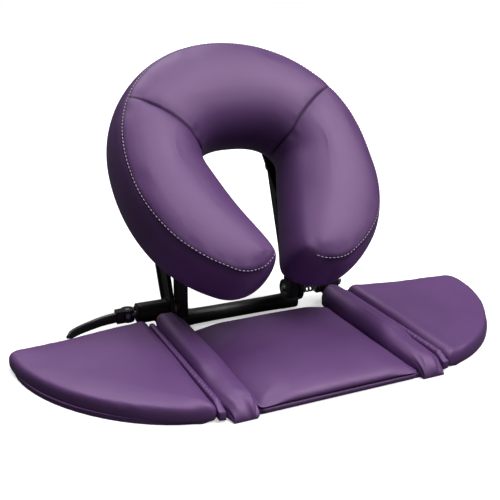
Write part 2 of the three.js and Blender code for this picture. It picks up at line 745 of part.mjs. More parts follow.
// Moulded yoke: the crossbar with flared ends, and two uprights with their clamp lugs
function makeYoke() {
  const flare = crossbar_radius + crossbar_flare;
  const collar = flare + crossbar_collar;
  const left = left_upright_inner;
  const right = right_upright_inner;
  const span = right - left;
  const overlap = cut_overrun;
  const profile = [
    new THREE.Vector2(0, -overlap),
    new THREE.Vector2(collar, -overlap),
    new THREE.Vector2(collar, crossbar_collar_length),
    new THREE.Vector2(flare, crossbar_collar_length + crossbar_collar),
    new THREE.Vector2(crossbar_radius, crossbar_flare_length),
    new THREE.Vector2(crossbar_radius, span - crossbar_flare_length),
    new THREE.Vector2(flare, span - crossbar_collar_length - crossbar_collar),
    new THREE.Vector2(collar, span - crossbar_collar_length),
    new THREE.Vector2(collar, span + overlap),
    new THREE.Vector2(0, span + overlap),
  ];
  const bar = new THREE.LatheGeometry(profile, fine_facets);
  bar.rotateZ(-Math.PI / 2);
  bar.translate(left, crossbar_y, crossbar_height);
  let yoke = solid(bar);
  for (const side of [-1, 1]) {
    const outer = cradle_middle + side * upright_outer_span;
    const inner = outer - side * upright_thickness;
    const from = Math.min(outer, inner);
    const to = Math.max(outer, inner);
    const upright = joined(
      plateYZ(uprightOutline(0), from, to, 10),
      barX(lug_radius, from, to, clamp_y, clamp_height, fine_facets),
      barX(collar, from, to, crossbar_y, crossbar_height, fine_facets));
    const pocket = roundedRectangle(
      crossbar_y - upright_half_depth + upright_rim, crossbar_y + upright_half_depth - upright_rim,
      ...pocket_shares.map((share) => THREE.MathUtils.lerp(clamp_height + lug_radius, slot_bolt_height, share)),
      upright_rim);
    const pocket_from = side > 0 ? inner - cut_overrun : inner - upright_recess;
    const pocket_to = side > 0 ? inner + upright_recess : inner + cut_overrun;
    const nut_mouth = inner - side * cut_overrun;
    const nut_bottom = inner + side * (nut_length + 2 * seat_gap);
    yoke = yoke.add(cut(upright,
      plateYZ(pocket, pocket_from, pocket_to),
      barX(rod_radius + rod_clearance, from - cut_overrun, to + cut_overrun, clamp_y, clamp_height),
      barX(slot_bolt_radius + seat_gap, from - cut_overrun, to + cut_overrun, slot_bolt_y, slot_bolt_height)));
    yoke = cut(yoke, barX(nut_radius + 2 * seat_gap, Math.min(nut_bottom, nut_mouth),
      Math.max(nut_bottom, nut_mouth), clamp_y, clamp_height, fine_facets));
  }
  add('crossbar_yoke', surface(yoke), 'moulding');
}

// Slot bolt: head outside the bracket's slot, nut inside the upright
function makeSlotBolt(word, side) {
  const bracket_outer = cradle_middle + side * bracket_outer_span;
  const head_inner = bracket_outer + side * seat_gap;
  const head_outer = head_inner + side * pivot_head_length;
  const upright_inner = cradle_middle + side * (upright_outer_span - upright_thickness);
  const nut_outer = upright_inner - side * seat_gap;
  const tail = nut_outer - side * (nut_length + rod_tail / 2);
  const low = Math.min(head_inner, tail);
  const high = Math.max(head_inner, tail);
  const bolt = joined(
    barX(slot_bolt_radius, low - seat_gap, high + seat_gap, slot_bolt_y, slot_bolt_height),
    barX(bracket_band - seat_gap, Math.min(head_inner, head_outer), Math.max(head_inner, head_outer),
      slot_bolt_y, slot_bolt_height, fine_facets));
  add(`${word}_slot_bolt`, surface(bolt), 'coated');
  const nut_low = Math.min(nut_outer, nut_outer - side * nut_length);
  add(`${word}_slot_nut`, nutX(slot_bolt_radius, nut_low, nut_low + nut_length, slot_bolt_y, slot_bolt_height),
    'steel');
}

// Places in the platform's own frame: across X, up the slope Y, away from the board Z
function toPlatform(y, z) {
  const dy = y - cushion_y;
  const dz = z - cushion_height;
  return new THREE.Vector2(
    dy * Math.cos(tilt) + dz * Math.sin(tilt),
    dz * Math.cos(tilt) - dy * Math.sin(tilt));
}
const pivot = toPlatform(pivot_y, pivot_height);
const slot_rest = toPlatform(slot_bolt_y, slot_bolt_height);
const slot_radius = slot_rest.distanceTo(pivot);
const slot_angle = Math.atan2(slot_rest.y - pivot.y, slot_rest.x - pivot.x) + Math.PI * 2;
const plate_top = -(seat_gap * 2 + loop_backing_thickness + hook_strip_thickness + seat_gap);
const plate_bottom = plate_top - plate_thickness;
const mount_low = plate_top - plate_rim_depth;

// Evenly spaced points on a polyline
function resample(points, count) {
  const curve = new THREE.CurvePath();
  for (let i = 0; i + 1 < points.length; i += 1) curve.add(new THREE.LineCurve(points[i], points[i + 1]));
  const result = [];
  for (let i = 0; i <= count; i += 1) result.push(curve.getPointAt(i / count).clone());
  return result;
}

// Half of the horseshoe's outline: the outer edge and the hole's edge, each from the crest to the tip
function horseshoeHalf(inset, count) {
  const half = cushion_width / 2 - inset;
  const above = cushion_above - inset;
  const below = cushion_below - inset;
  const fine = 60;
  const outer = [];
  for (let i = 0; i <= fine; i += 1) {
    const angle = (Math.PI / 2) * (1 - (2 * i) / fine);
    const upper = angle >= 0;
    const power = 2 / (upper ? cushion_upper_fullness : cushion_lower_fullness);
    const x = half * Math.cos(angle) ** power;
    const y = upper ? above * Math.sin(angle) ** power : -below * (-Math.sin(angle)) ** power;
    outer.push(new THREE.Vector2(x, y));
  }
  const kept = outer.filter((p) => p.y > 0 || p.x > lobe_middle);
  const tip_share = 1 - (lobe_middle / half) ** cushion_lower_fullness;
  const tip = new THREE.Vector2(lobe_middle, -below * tip_share ** (1 / cushion_lower_fullness));
  kept.push(tip);
  const level = mouth_level - inset;
  const hole_side = hole_half_width + inset;
  const hole_crest = hole_top + inset;
  const mouth = mouth_half_gap + inset;
  const hole = [];
  for (let i = 0; i <= fine; i += 1) {
    const angle = (Math.PI / 2) * (1 - i / fine);
    const power = 2 / hole_fullness;
    hole.push(new THREE.Vector2(hole_side * Math.cos(angle) ** power, hole_crest * Math.sin(angle) ** power));
  }
  for (let i = 1; i <= fine; i += 1) {
    const angle = (Math.PI / 2) * (i / fine);
    const x = lobe_middle - (lobe_middle - mouth) * Math.cos(angle);
    const y = -level + (tip.y + level) * Math.sin(angle);
    hole.push(new THREE.Vector2(x, y));
  }
  return { outer: resample(kept, count), hole: resample(hole, count) };
}

// The whole horseshoe as one closed run: crest, right tip, hole, left tip; the lobes sit a little to the right
function horseshoeLoop(inset, count) {
  const { outer, hole } = horseshoeHalf(inset, count);
  const mirrored = (p) => new THREE.Vector2(-p.x, p.y);
  const loop = [
    ...outer,
    ...hole.slice(0, count).reverse(),
    ...hole.slice(1, count).map(mirrored),
    ...outer.slice(1).reverse().map(mirrored),
  ];
  return loop.map((p) => {
    const shift = lobe_shift * THREE.MathUtils.smoothstep(-p.y, 0, mouth_level);
    return new THREE.Vector2(p.x + shift, p.y);
  });
}

// Move every point of a closed run inwards along its normal
function drawnIn(loop, inset) {
  const count = loop.length;
  const sign = THREE.ShapeUtils.area(loop) > 0 ? 1 : -1;
  return loop.map((p, i) => {
    const along = loop[(i + 1) % count].clone().sub(loop[(i + count - 1) % count]).normalize();
    return new THREE.Vector2(p.x - along.y * sign * inset, p.y + along.x * sign * inset);
  });
}

// The cushion: drawn in at the bottom, full at its side, a seam groove, a rolled shoulder and a crowned top
function makeCushion() {
  const count = 17;
  const across = 5;
  const loop = horseshoeLoop(0, count);
  const total = loop.length;
  const lower_shares = [[0, 1], [0.1, 0.45], [0.3, 0.1], [0.58, 0]];
  const bulge_height_share = 0.86;
  const bulge_inset_share = 0.45;
  const roll_share = 0.6;
  const side_levels = [
    ...lower_shares.map(([tall, drawn]) => [cushion_seam_height * tall, cushion_bottom_inset * drawn]),
    [cushion_seam_height * bulge_height_share, cushion_seam_inset * bulge_inset_share],
    [cushion_seam_height, cushion_seam_inset + cushion_seam_groove],
    [cushion_seam_height + cushion_seam_groove * 2, cushion_seam_inset],
    [cushion_shoulder_height - cushion_seam_groove, cushion_top_inset * roll_share],
    [cushion_shoulder_height, cushion_top_inset],
  ];
  const points = [];
  const triangles = [];
  for (const [z, inset] of side_levels) {
    for (const p of drawnIn(loop, inset)) points.push(new THREE.Vector3(p.x, p.y, z));
  }
  for (let level = 0; level + 1 < side_levels.length; level += 1) {
    for (let i = 0; i < total; i += 1) {
      const a = level * total + i;
      const b = level * total + ((i + 1) % total);
      triangles.push(a, b + total, b, a, a + total, b + total);
    }
  }
  // Stations across the horseshoe: pairs of points on the outer edge and on the hole's edge
  const station = (j) => (j >= 0
    ? [j, 2 * count - j]
    : [(4 * count + j) % (4 * count), 2 * count - j]);
  const full_width = cushion_width / 5;
  const crown_fullness = 0.7;
  const rows = (base, rise) => {
    const grid = new Map();
    for (let j = -count; j <= count; j += 1) {
      const [o, h] = station(j);
      const outer = points[base + o];
      const hole = points[base + h];
      if (Math.abs(j) === count) {
        grid.set(j, [base + o]);
      } else {
        const width = outer.distanceTo(hole);
        const fade = Math.min(1, width / full_width);
        const off_channel = Math.abs(Math.abs(j) - cushion_channel_share * count);
        const channel = rise > 0 && off_channel < 1 / 2 ? cushion_channel : 0;
        const row = [base + o];
        for (let k = 1; k < across; k += 1) {
          const p = outer.clone().lerp(hole, k / across);
          p.z += rise * fade * Math.sin((Math.PI * k) / across) ** crown_fullness - channel;
          row.push(points.push(p) - 1);
        }
        row.push(base + h);
        grid.set(j, row);
      }
    }
    return grid;
  };
  const fill = (grid, flip) => {
    const face = (a, b, c) => triangles.push(...(flip ? [a, c, b] : [a, b, c]));
    for (let j = -count; j < count; j += 1) {
      const here = grid.get(j);
      const next = grid.get(j + 1);
      if (here.length === 1) {
        for (let k = 0; k < across; k += 1) face(here[0], next[k + 1], next[k]);
      } else if (next.length === 1) {
        for (let k = 0; k < across; k += 1) face(here[k], here[k + 1], next[0]);
      } else {
        for (let k = 0; k < across; k += 1) {
          face(here[k], here[k + 1], next[k + 1]);
          face(here[k], next[k + 1], next[k]);
        }
      }
    }
  };
  const top = (side_levels.length - 1) * total;
  fill(rows(top, cushion_crown_height - cushion_shoulder_height), false);
  fill(rows(0, 0), true);
  const geometry = new THREE.BufferGeometry();
  geometry.setAttribute('position', new THREE.Float32BufferAttribute(points.flatMap((p) => p.toArray()), 3));
  geometry.setIndex(triangles);
  geometry.translate(cushion_middle, 0, 0);
  add('face_cushion', geometry, 'vinyl', platform);
}

// A flat horseshoe layer in the platform's frame
function horseshoeLayer(middle, inset, low, high) {
  const loop = horseshoeLoop(inset, 18);
  if (THREE.ShapeUtils.area(loop) < 0) loop.reverse();
  const geometry = slab(new THREE.Shape(loop), low, high);
  geometry.translate(middle, 0, 0);
  return geometry;
}

// Moulded board: a plate with a turned-down rim and cross ribs, open underneath
function makePlatform() {
  const outside = horseshoeLayer(plate_middle, plate_inset, mount_low, plate_top);
  const inside = horseshoeLayer(plate_middle, plate_inset + plate_rim_wall, mount_low - cut_overrun,
    plate_bottom);
  let board = cut(joined(outside), inside);
  const field = solid(horseshoeLayer(plate_middle, plate_inset + plate_rim_wall / 2, mount_low,
    plate_bottom + plate_thickness / 2));
  const rib_depth = plate_rim_depth - plate_thickness / 2;
  for (const turn of plate_rib_turns) {
    const rib = new THREE.BoxGeometry(plate_rib_wall, cushion_above, rib_depth);
    rib.translate(0, cushion_above / 2, mount_low + rib_depth / 2);
    rib.rotateZ(turn * Math.PI);
    rib.translate(plate_middle, 0, 0);
    board = board.add(field.intersect(solid(rib)));
  }
  for (const side of [-1, 1]) {
    const width = bracket_flange + bracket_thickness + 2 * plate_pad_margin;
    const pad = new THREE.BoxGeometry(width, cushion_above * 2, rib_depth);
    pad.translate(cradle_middle + side * (bracket_outer_span + plate_pad_margin - width / 2), 0,
      mount_low + rib_depth / 2);
    board = board.add(field.intersect(solid(pad)));
  }
  add('platform_board', surface(board), 'moulding', platform);

  const backing_top = -seat_gap;
  const backing = horseshoeLayer(cushion_middle, backing_inset, backing_top - loop_backing_thickness,
    backing_top);
  add('loop_backing', backing, 'hook', platform);
  const strip_top = backing_top - loop_backing_thickness - seat_gap;
  const field_strip = solid(horseshoeLayer(plate_middle, plate_inset + plate_rim_wall,
    strip_top - hook_strip_thickness, strip_top));
  const strip = (x, y, width, depth) => {
    const box = new THREE.BoxGeometry(width, depth, hook_strip_thickness * 3);
    box.translate(x, y, strip_top);
    return surface(field_strip.intersect(solid(box)));
  };
  const lobe = (hole_half_width + cushion_width / 2) / 2;
  const crest_y = (hole_top + cushion_above) / 2;
  const lobe_y = -mouth_level / 3;
  add('crest_hook_strip', strip(plate_middle, crest_y, cushion_width / 2, hook_strip_width), 'hook', platform);
  for (const [word, side] of [['left', -1], ['right', 1]]) {
    const x = plate_middle + side * lobe;
    add(`${word}_hook_strip`, strip(x, lobe_y, hook_strip_width, cushion_above / 2), 'hook', platform);
  }
}

// Outline of a side bracket in the platform's YZ: pivot lug, curved slot band and the edge along the board
function bracketOutline() {
  const top = mount_low - seat_gap;
  const outer = slot_radius + bracket_band;
  const spare = Math.asin(bracket_band / slot_radius);
  const first = slot_angle - THREE.MathUtils.degToRad(tilt_steeper) - spare;
  const last = slot_angle + THREE.MathUtils.degToRad(tilt_flatter) + spare;
  const points = [];
  const steps = 14;
  const start_angle = Math.PI - Math.asin((top - pivot.y) / outer);
  for (let i = 0; i <= steps; i += 1) {
    const angle = THREE.MathUtils.lerp(Math.max(first, start_angle), last, i / steps);
    points.push(new THREE.Vector2(pivot.x + outer * Math.cos(angle), pivot.y + outer * Math.sin(angle)));
  }
  const inner = slot_radius - bracket_band;
  points.push(new THREE.Vector2(pivot.x + inner * Math.cos(last), pivot.y + inner * Math.sin(last)));
  const lug_steps = 10;
  for (let i = 0; i <= lug_steps; i += 1) {
    const angle = THREE.MathUtils.lerp(last + Math.PI / 2, Math.PI * 2, i / lug_steps);
    points.push(new THREE.Vector2(pivot.x + bracket_lug_radius * Math.cos(angle),
      pivot.y + bracket_lug_radius * Math.sin(angle)));
  }
  points.push(new THREE.Vector2(pivot.x + bracket_lug_radius, top));
  points.push(new THREE.Vector2(points[0].x, top));
  const shape = new THREE.Shape(points);

  const slot = new THREE.Path();
  const play = slot_bolt_radius + slot_play;
  const from = slot_angle - THREE.MathUtils.degToRad(tilt_steeper);
  const to = slot_angle + THREE.MathUtils.degToRad(tilt_flatter);
  const slot_end = (angle) => new THREE.Vector2(pivot.x + slot_radius * Math.cos(angle),
    pivot.y + slot_radius * Math.sin(angle));
  slot.absarc(pivot.x, pivot.y, slot_radius + play, from, to, false);
  slot.absarc(slot_end(to).x, slot_end(to).y, play, to, to + Math.PI, false);
  slot.absarc(pivot.x, pivot.y, slot_radius - play, to, from, true);
  slot.absarc(slot_end(from).x, slot_end(from).y, play, from + Math.PI, from + 2 * Math.PI, false);
  shape.holes.push(slot);

  const window_hole = new THREE.Path();
  const far = slot_radius - bracket_band - bracket_window_rim;
  const window_first = slot_angle + THREE.MathUtils.degToRad(bracket_window_start_degrees);
  const window_last = last - THREE.MathUtils.degToRad(bracket_window_end_degrees);
  const taper = THREE.MathUtils.degToRad(bracket_window_taper_degrees);
  window_hole.absarc(pivot.x, pivot.y, far, window_first, window_last, false);
  window_hole.absarc(pivot.x, pivot.y, bracket_window_near, window_last - taper, window_first + taper, true);
  window_hole.closePath();
  shape.holes.push(window_hole);
  return shape;
}

function bracketEdges(side) {
  const outer = cradle_middle + side * bracket_outer_span;
  const inner = cradle_middle + side * bracket_inner_span;
  return { outer, inner, from: Math.min(outer, inner), to: Math.max(outer, inner) };
}

// Side bracket: a plate with the curved slot, and a flange screwed to the board's underside
function makeBracket(word, side) {
  const { inner, from, to } = bracketEdges(side);
  const screw_place_share = 0.6;
  const screw_taper_share = 0.7;
  const plate = plateYZ(bracketOutline(), from, to, 12);
  const flange_top = mount_low - seat_gap;
  const flange_back = pivot.x + bracket_lug_radius;
  const flange_front = pivot.x - slot_radius * bracket_flange_share;
  const flange_inner = inner - side * bracket_flange;
  const flange = new THREE.BoxGeometry(
    Math.abs(flange_inner - inner) + bracket_thickness, flange_back - flange_front, bracket_flange_thickness);
  flange.translate((flange_inner + inner) / 2 + side * bracket_thickness / 2, (flange_back + flange_front) / 2,
    flange_top - bracket_flange_thickness / 2);
  const bore = barX(pivot_bolt_radius + seat_gap, from - cut_overrun, to + cut_overrun, pivot.x, pivot.y);
  add(`${word}_bracket`, surface(cut(joined(plate, flange), bore)), 'coated', platform);
  for (let i = 0; i < screws_per_bracket; i += 1) {
    const share = (i + 1 / 2) / screws_per_bracket;
    const y = THREE.MathUtils.lerp(flange_front, flange_back, share);
    const x = inner - side * bracket_flange * screw_place_share;
    const head_top = flange_top - bracket_flange_thickness - seat_gap;
    const screw = new THREE.CylinderGeometry(screw_head_radius, screw_head_radius * screw_taper_share,
      screw_head_height, bolt_facets);
    screw.rotateX(Math.PI / 2);
    screw.translate(x, y, head_top - screw_head_height / 2);
    add(`${word}_bracket_screw_${i + 1}`, screw, 'steel', platform);
  }
}

// Pivot bolt: a bright socket head inside the bracket, its shank through bracket, washer and arm, and a nut
function makePivot(word, side) {
  const { outer, inner } = bracketEdges(side);
  const head_outer = inner - side * seat_gap;
  const head_inner = head_outer - side * pivot_head_length;
  const arm_outer = cradle_middle + side * arm_outer_span;
  const washer_inner = arm_outer + side * seat_gap;
  const washer_outer = washer_inner + side * pivot_washer_thickness;
  const nut_inner = washer_outer + side * seat_gap;
  const nut_outer = nut_inner + side * nut_length;
  const shank_end = nut_outer + side * rod_tail / 2;
  const order = (a, b) => [Math.min(a, b), Math.max(a, b)];
  const bolt = joined(
    barX(pivot_head_radius, ...order(head_inner, head_outer), pivot_y, pivot_height, fine_facets),
    barX(pivot_bolt_radius, ...order(head_outer - side * seat_gap, shank_end), pivot_y, pivot_height));
  const socket_ends = order(head_inner - side * cut_overrun, head_inner + side * pivot_socket_depth);
  const socket = barX(pivot_socket_radius, ...socket_ends, pivot_y, pivot_height, 6);
  add(`${word}_pivot_bolt`, surface(cut(bolt, socket)), 'chrome');
  const [nut_low, nut_high] = order(nut_inner, nut_outer);
  add(`${word}_pivot_nut`, nutX(pivot_bolt_radius, nut_low, nut_high, pivot_y, pivot_height), 'steel');
  const [washer_low, washer_high] = order(washer_inner, washer_outer);
  add(`${word}_pivot_washer`, ringX(arm_head_radius - seat_gap, pivot_bolt_radius + seat_gap,
    washer_low, washer_high, pivot_y, pivot_height, fine_facets), 'steel');
}

// Cam lever: two eccentric cheeks on the pin, a bridge, and a blade that curves along the wing's back edge
function makeLever() {
  const low = clamp_height - rod_eye_half_height - seat_gap - cam_cheek;
  const high = clamp_height + rod_eye_half_height + seat_gap + cam_cheek;
  const slot_low = clamp_height - rod_eye_half_height - seat_gap;
  const slot_high = clamp_height + rod_eye_half_height + seat_gap;
  const root = cam_pin_x - cam_radius;
  const spine_shares = [[0.3, -0.02, 0.5], [0.45, 0, 0.85], [0.78, 0.45, 1], [1, 1, 1]];
  const spine = new THREE.CatmullRomCurve3([
    new THREE.Vector3(root + cam_radius / 2, clamp_y, clamp_height),
    ...spine_shares.map(([along, sweep, droop]) => new THREE.Vector3(
      root - lever_length * along, clamp_y - lever_sweep * sweep, clamp_height - lever_droop * droop)),
  ]);
  const steps = 12;
  const rings = [];
  for (let i = 0; i <= steps; i += 1) {
    const share = i / steps;
    const here = spine.getPointAt(share);
    const along = spine.getTangentAt(share);
    const across = new THREE.Vector3(-along.y, along.x, 0).normalize();
    const into_tip = Math.max(0, (share - lever_tip_share) / (1 - lever_tip_share));
    const end_taper = Math.sqrt(Math.max(lever_tip_thinness, 1 - into_tip ** 2));
    const half_height = (lever_height / 2) * end_taper * THREE.MathUtils.lerp(...lever_height_shares, share);
    const half_thick = (lever_thickness / 2) * end_taper
      * THREE.MathUtils.lerp(...lever_thickness_shares, share);
    const ring = [];
    const sides = 12;
    for (let k = 0; k < sides; k += 1) {
      const angle = (2 * Math.PI * k) / sides;
      const c = Math.cos(angle);
      const s = Math.sin(angle);
      const point = here.clone()
        .addScaledVector(across, half_thick * Math.sign(c) * Math.abs(c) ** lever_section_fullness);
      point.z += half_height * Math.sign(s) * Math.abs(s) ** lever_section_fullness;
      ring.push(point);
    }
    rings.push(ring);
  }
  const blade = ringMesh(rings, spine.getPointAt(0), spine.getPointAt(1));
  const cheeks = barZ(cam_radius, low, high, cam_pin_x, clamp_y + cam_offset, fine_facets);
  const bridge = new THREE.BoxGeometry(lever_bridge, lever_thickness * 2, high - low);
  bridge.translate(root - lever_bridge / 5, clamp_y, clamp_height);
  const throat = new THREE.BoxGeometry(cam_radius * 3, cam_radius * 3, slot_high - slot_low);
  throat.translate(cam_pin_x + cam_radius * 1.5 - rod_eye_radius - seat_gap, clamp_y, clamp_height);
  const lever = cut(joined(cheeks, bridge, blade), throat,
    barZ(cam_pin_radius + seat_gap, low - cut_overrun, high + cut_overrun, cam_pin_x, clamp_y));
  add('cam_lever', surface(lever), 'coated');
}

makePanels();
makeSleeve('left', -1);
makeSleeve('right', 1);
makePostTube('left', -1);
makePostTube('right', 1);
makePost('left', -1, left_head_outer, left_arm_outer - seat_gap * 2 - washer_thickness);
makePost('right', 1, right_head_inner, right_head_outer);
makeClampRods();
makeSpring();
makeArm('left', -1);
makeArm('right', 1);
makeYoke();
makeSlotBolt('left', -1);
makeSlotBolt('right', 1);
makeCushion();
makePlatform();
makeBracket('left', -1);
makeBracket('right', 1);
makePivot('left', -1);
makePivot('right', 1);
makeLever();

export default model;
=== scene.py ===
"""Looks of the face cradle: vinyl cushion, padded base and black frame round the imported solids."""

import math

import bmesh
import bpy
import numpy as np
from mathutils import Matrix, Vector, noise


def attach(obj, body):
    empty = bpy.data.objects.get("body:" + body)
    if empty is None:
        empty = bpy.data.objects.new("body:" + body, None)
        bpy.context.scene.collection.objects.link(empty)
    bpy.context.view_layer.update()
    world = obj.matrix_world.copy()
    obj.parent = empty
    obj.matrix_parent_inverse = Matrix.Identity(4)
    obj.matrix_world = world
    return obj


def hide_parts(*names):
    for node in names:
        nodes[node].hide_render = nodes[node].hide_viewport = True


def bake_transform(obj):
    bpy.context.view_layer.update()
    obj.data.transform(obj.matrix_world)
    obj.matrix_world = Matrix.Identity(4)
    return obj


MM = 0.001

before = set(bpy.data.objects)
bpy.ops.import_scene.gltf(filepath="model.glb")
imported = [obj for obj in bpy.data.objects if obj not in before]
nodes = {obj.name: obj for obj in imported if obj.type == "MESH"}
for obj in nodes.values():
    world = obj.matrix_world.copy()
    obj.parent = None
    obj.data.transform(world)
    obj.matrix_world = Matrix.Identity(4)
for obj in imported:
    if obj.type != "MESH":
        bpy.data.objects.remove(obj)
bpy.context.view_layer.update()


# Shader groups and materials


def new_group(name, inputs, outputs):
    """A shader node group with named number sockets; returns the tree and its input and output nodes."""
    tree = bpy.data.node_groups.new(name, "ShaderNodeTree")
    for socket, value in inputs.items():
        item = tree.interface.new_socket(socket, in_out="INPUT", socket_type="NodeSocketFloat")
        item.default_value = value
    for socket in outputs:
        tree.interface.new_socket(socket, in_out="OUTPUT", socket_type="NodeSocketFloat")
    return tree, tree.nodes.new("NodeGroupInput"), tree.nodes.new("NodeGroupOutput")


def math_node(tree, operation, a, b=None, clamp=False):
    node = tree.nodes.new("ShaderNodeMath")
    node.operation = operation
    node.use_clamp = clamp
    for index, value in enumerate((a, b)):
        if value is None:
            continue
        if isinstance(value, (int, float)):
            node.inputs[index].default_value = value
        else:
            tree.links.new(value, node.inputs[index])
    return node.outputs[0]


def remap(tree, value, from_low, from_high, to_low, to_high):
    node = tree.nodes.new("ShaderNodeMapRange")
    for index, number in zip((1, 2, 3, 4), (from_low, from_high, to_low, to_high)):
        node.inputs[index].default_value = number
    tree.links.new(value, node.inputs[0])
    return node.outputs[0]


def noise_node(tree, vector, scale, detail=3.0, roughness=0.55):
    node = tree.nodes.new("ShaderNodeTexNoise")
    node.inputs["Detail"].default_value = detail
    node.inputs["Roughness"].default_value = roughness
    if isinstance(scale, (int, float)):
        node.inputs["Scale"].default_value = scale
    else:
        tree.links.new(scale, node.inputs["Scale"])
    tree.links.new(vector, node.inputs["Vector"])
    return node.outputs["Fac"]


def object_place(tree):
    """The place on the object itself, in metres."""
    return tree.nodes.new("ShaderNodeTexCoord").outputs["Object"]


def stretched(tree, vector, scale):
    """The same place with each axis scaled, so that a pattern comes out long or fine."""
    node = tree.nodes.new("ShaderNodeMapping")
    node.inputs["Scale"].default_value = scale
    tree.links.new(vector, node.inputs["Vector"])
    return node.outputs["Vector"]


# Vinyl grain: wobble of its cells in metres, width of their creases, its fine part and its slow swell
GRAIN_WOBBLE = 0.0012
GRAIN_CREASE_WIDTH = 0.22
GRAIN_FINE_SCALE = 1500.0
GRAIN_FINE_DEPTH = 0.12
GRAIN_SWELL_SCALE = 42.0
SCRATCH_STRETCH = (40.0, 400.0, 260.0)


def grain_group():
    """Leather grain: shallow cells with fine creases between them, and a slow swell below."""
    tree, given, made = new_group(
        "Vinyl grain", {"Cell Scale": 900.0, "Cell Depth": 0.25, "Swell Depth": 0.5}, ("Height",))
    place = object_place(tree)
    warp = tree.nodes.new("ShaderNodeTexNoise")
    warp.inputs["Scale"].default_value = 160.0
    warp.inputs["Detail"].default_value = 2.0
    tree.links.new(place, warp.inputs["Vector"])
    wobble = tree.nodes.new("ShaderNodeVectorMath")
    wobble.operation = "MULTIPLY_ADD"
    wobble.inputs[1].default_value = (GRAIN_WOBBLE, GRAIN_WOBBLE, GRAIN_WOBBLE)
    tree.links.new(warp.outputs["Color"], wobble.inputs[0])
    tree.links.new(place, wobble.inputs[2])
    cells = tree.nodes.new("ShaderNodeTexVoronoi")
    cells.feature = "DISTANCE_TO_EDGE"
    tree.links.new(wobble.outputs[0], cells.inputs["Vector"])
    tree.links.new(given.outputs["Cell Scale"], cells.inputs["Scale"])
    crease = remap(tree, cells.outputs["Distance"], 0.0, GRAIN_CREASE_WIDTH, 0.0, 1.0)
    fine = noise_node(tree, place, GRAIN_FINE_SCALE, 2.0)
    swell = noise_node(tree, place, GRAIN_SWELL_SCALE, 2.0, 0.4)
    part = math_node(tree, "MULTIPLY", crease, given.outputs["Cell Depth"])
    part = math_node(tree, "ADD", part, math_node(tree, "MULTIPLY", fine, GRAIN_FINE_DEPTH))
    part = math_node(tree, "ADD", part, math_node(tree, "MULTIPLY", swell, given.outputs["Swell Depth"]))
    tree.links.new(part, made.inputs["Height"])
    return tree


def wear_group():
    """Handling wear: uneven roughness in patches, and short scratches that lift the colour a little."""
    tree, given, made = new_group(
        "Handling wear", {"Patch Scale": 18.0, "Strength": 0.5}, ("Roughness Shift", "Lift"))
    place = object_place(tree)
    patch = noise_node(tree, place, given.outputs["Patch Scale"], 4.0, 0.6)
    scratch = noise_node(tree, stretched(tree, place, SCRATCH_STRETCH), 1.0, 3.0, 0.7)
    marks = remap(tree, scratch, 0.62, 0.74, 0.0, 1.0)
    shift = math_node(tree, "SUBTRACT", patch, 0.5)
    shift = math_node(tree, "MULTIPLY", shift, given.outputs["Strength"])
    tree.links.new(shift, made.inputs["Roughness Shift"])
    lift = math_node(tree, "MULTIPLY", marks, given.outputs["Strength"])
    tree.links.new(lift, made.inputs["Lift"])
    return tree


GRAIN = grain_group()
WEAR = wear_group()


def use_group(tree, group, **values):
    node = tree.nodes.new("ShaderNodeGroup")
    node.node_tree = group
    for name, value in values.items():
        node.inputs[name.replace("_", " ")].default_value = value
    return node


def mixed_colour(tree, factor, first, second):
    node = tree.nodes.new("ShaderNodeMix")
    node.data_type = "RGBA"
    if isinstance(factor, (int, float)):
        node.inputs["Factor"].default_value = factor
    else:
        tree.links.new(factor, node.inputs["Factor"])
    for value, socket in ((first, node.inputs[6]), (second, node.inputs[7])):
        if isinstance(value, tuple):
            socket.default_value = value
        else:
            tree.links.new(value, socket)
    return node.outputs[2]


def blank(name):
    material = bpy.data.materials.new(name)
    material.use_nodes = True
    tree = material.node_tree
    return material, tree, tree.nodes["Principled BSDF"]


def bump(tree, height, distance, strength=1.0):
    node = tree.nodes.new("ShaderNodeBump")
    node.inputs["Distance"].default_value = distance
    node.inputs["Strength"].default_value = strength
    tree.links.new(height, node.inputs["Height"])
    return node.outputs["Normal"]


def worn_roughness(tree, shader, rough, wear):
    """Links a finish's own roughness, shifted in patches by handling."""
    shifted = math_node(tree, "ADD", rough, wear.outputs["Roughness Shift"], True)
    tree.links.new(shifted, shader.inputs["Roughness"])


VINYL = (0.134, 0.060, 0.190, 1.0)
VINYL_DEEP = (0.076, 0.030, 0.118, 1.0)
# Painted shade: the near-black colour laid into the seams and creases of the vinyl
VINYL_CREASE_SHADE = (0.008, 0.002, 0.020, 1.0)
VINYL_ROUGHNESS = 0.42
VINYL_IOR = 1.52
VINYL_GLOSS = 0.62
VINYL_GLOSS_TINT = (0.97, 0.68, 1.0, 1.0)
WOOD_EARLY = (0.42, 0.27, 0.14, 1.0)
WOOD_LATE = (0.24, 0.13, 0.06, 1.0)
WOOD_PORE = (0.12, 0.07, 0.03, 1.0)
PILE_LIGHT = (0.03, 0.03, 0.032, 1.0)
PILE_DARK = (0.006, 0.006, 0.007, 1.0)
THREAD_LIGHT = (0.62, 0.50, 0.68, 1.0)
THREAD_DARK = (0.38, 0.27, 0.45, 1.0)


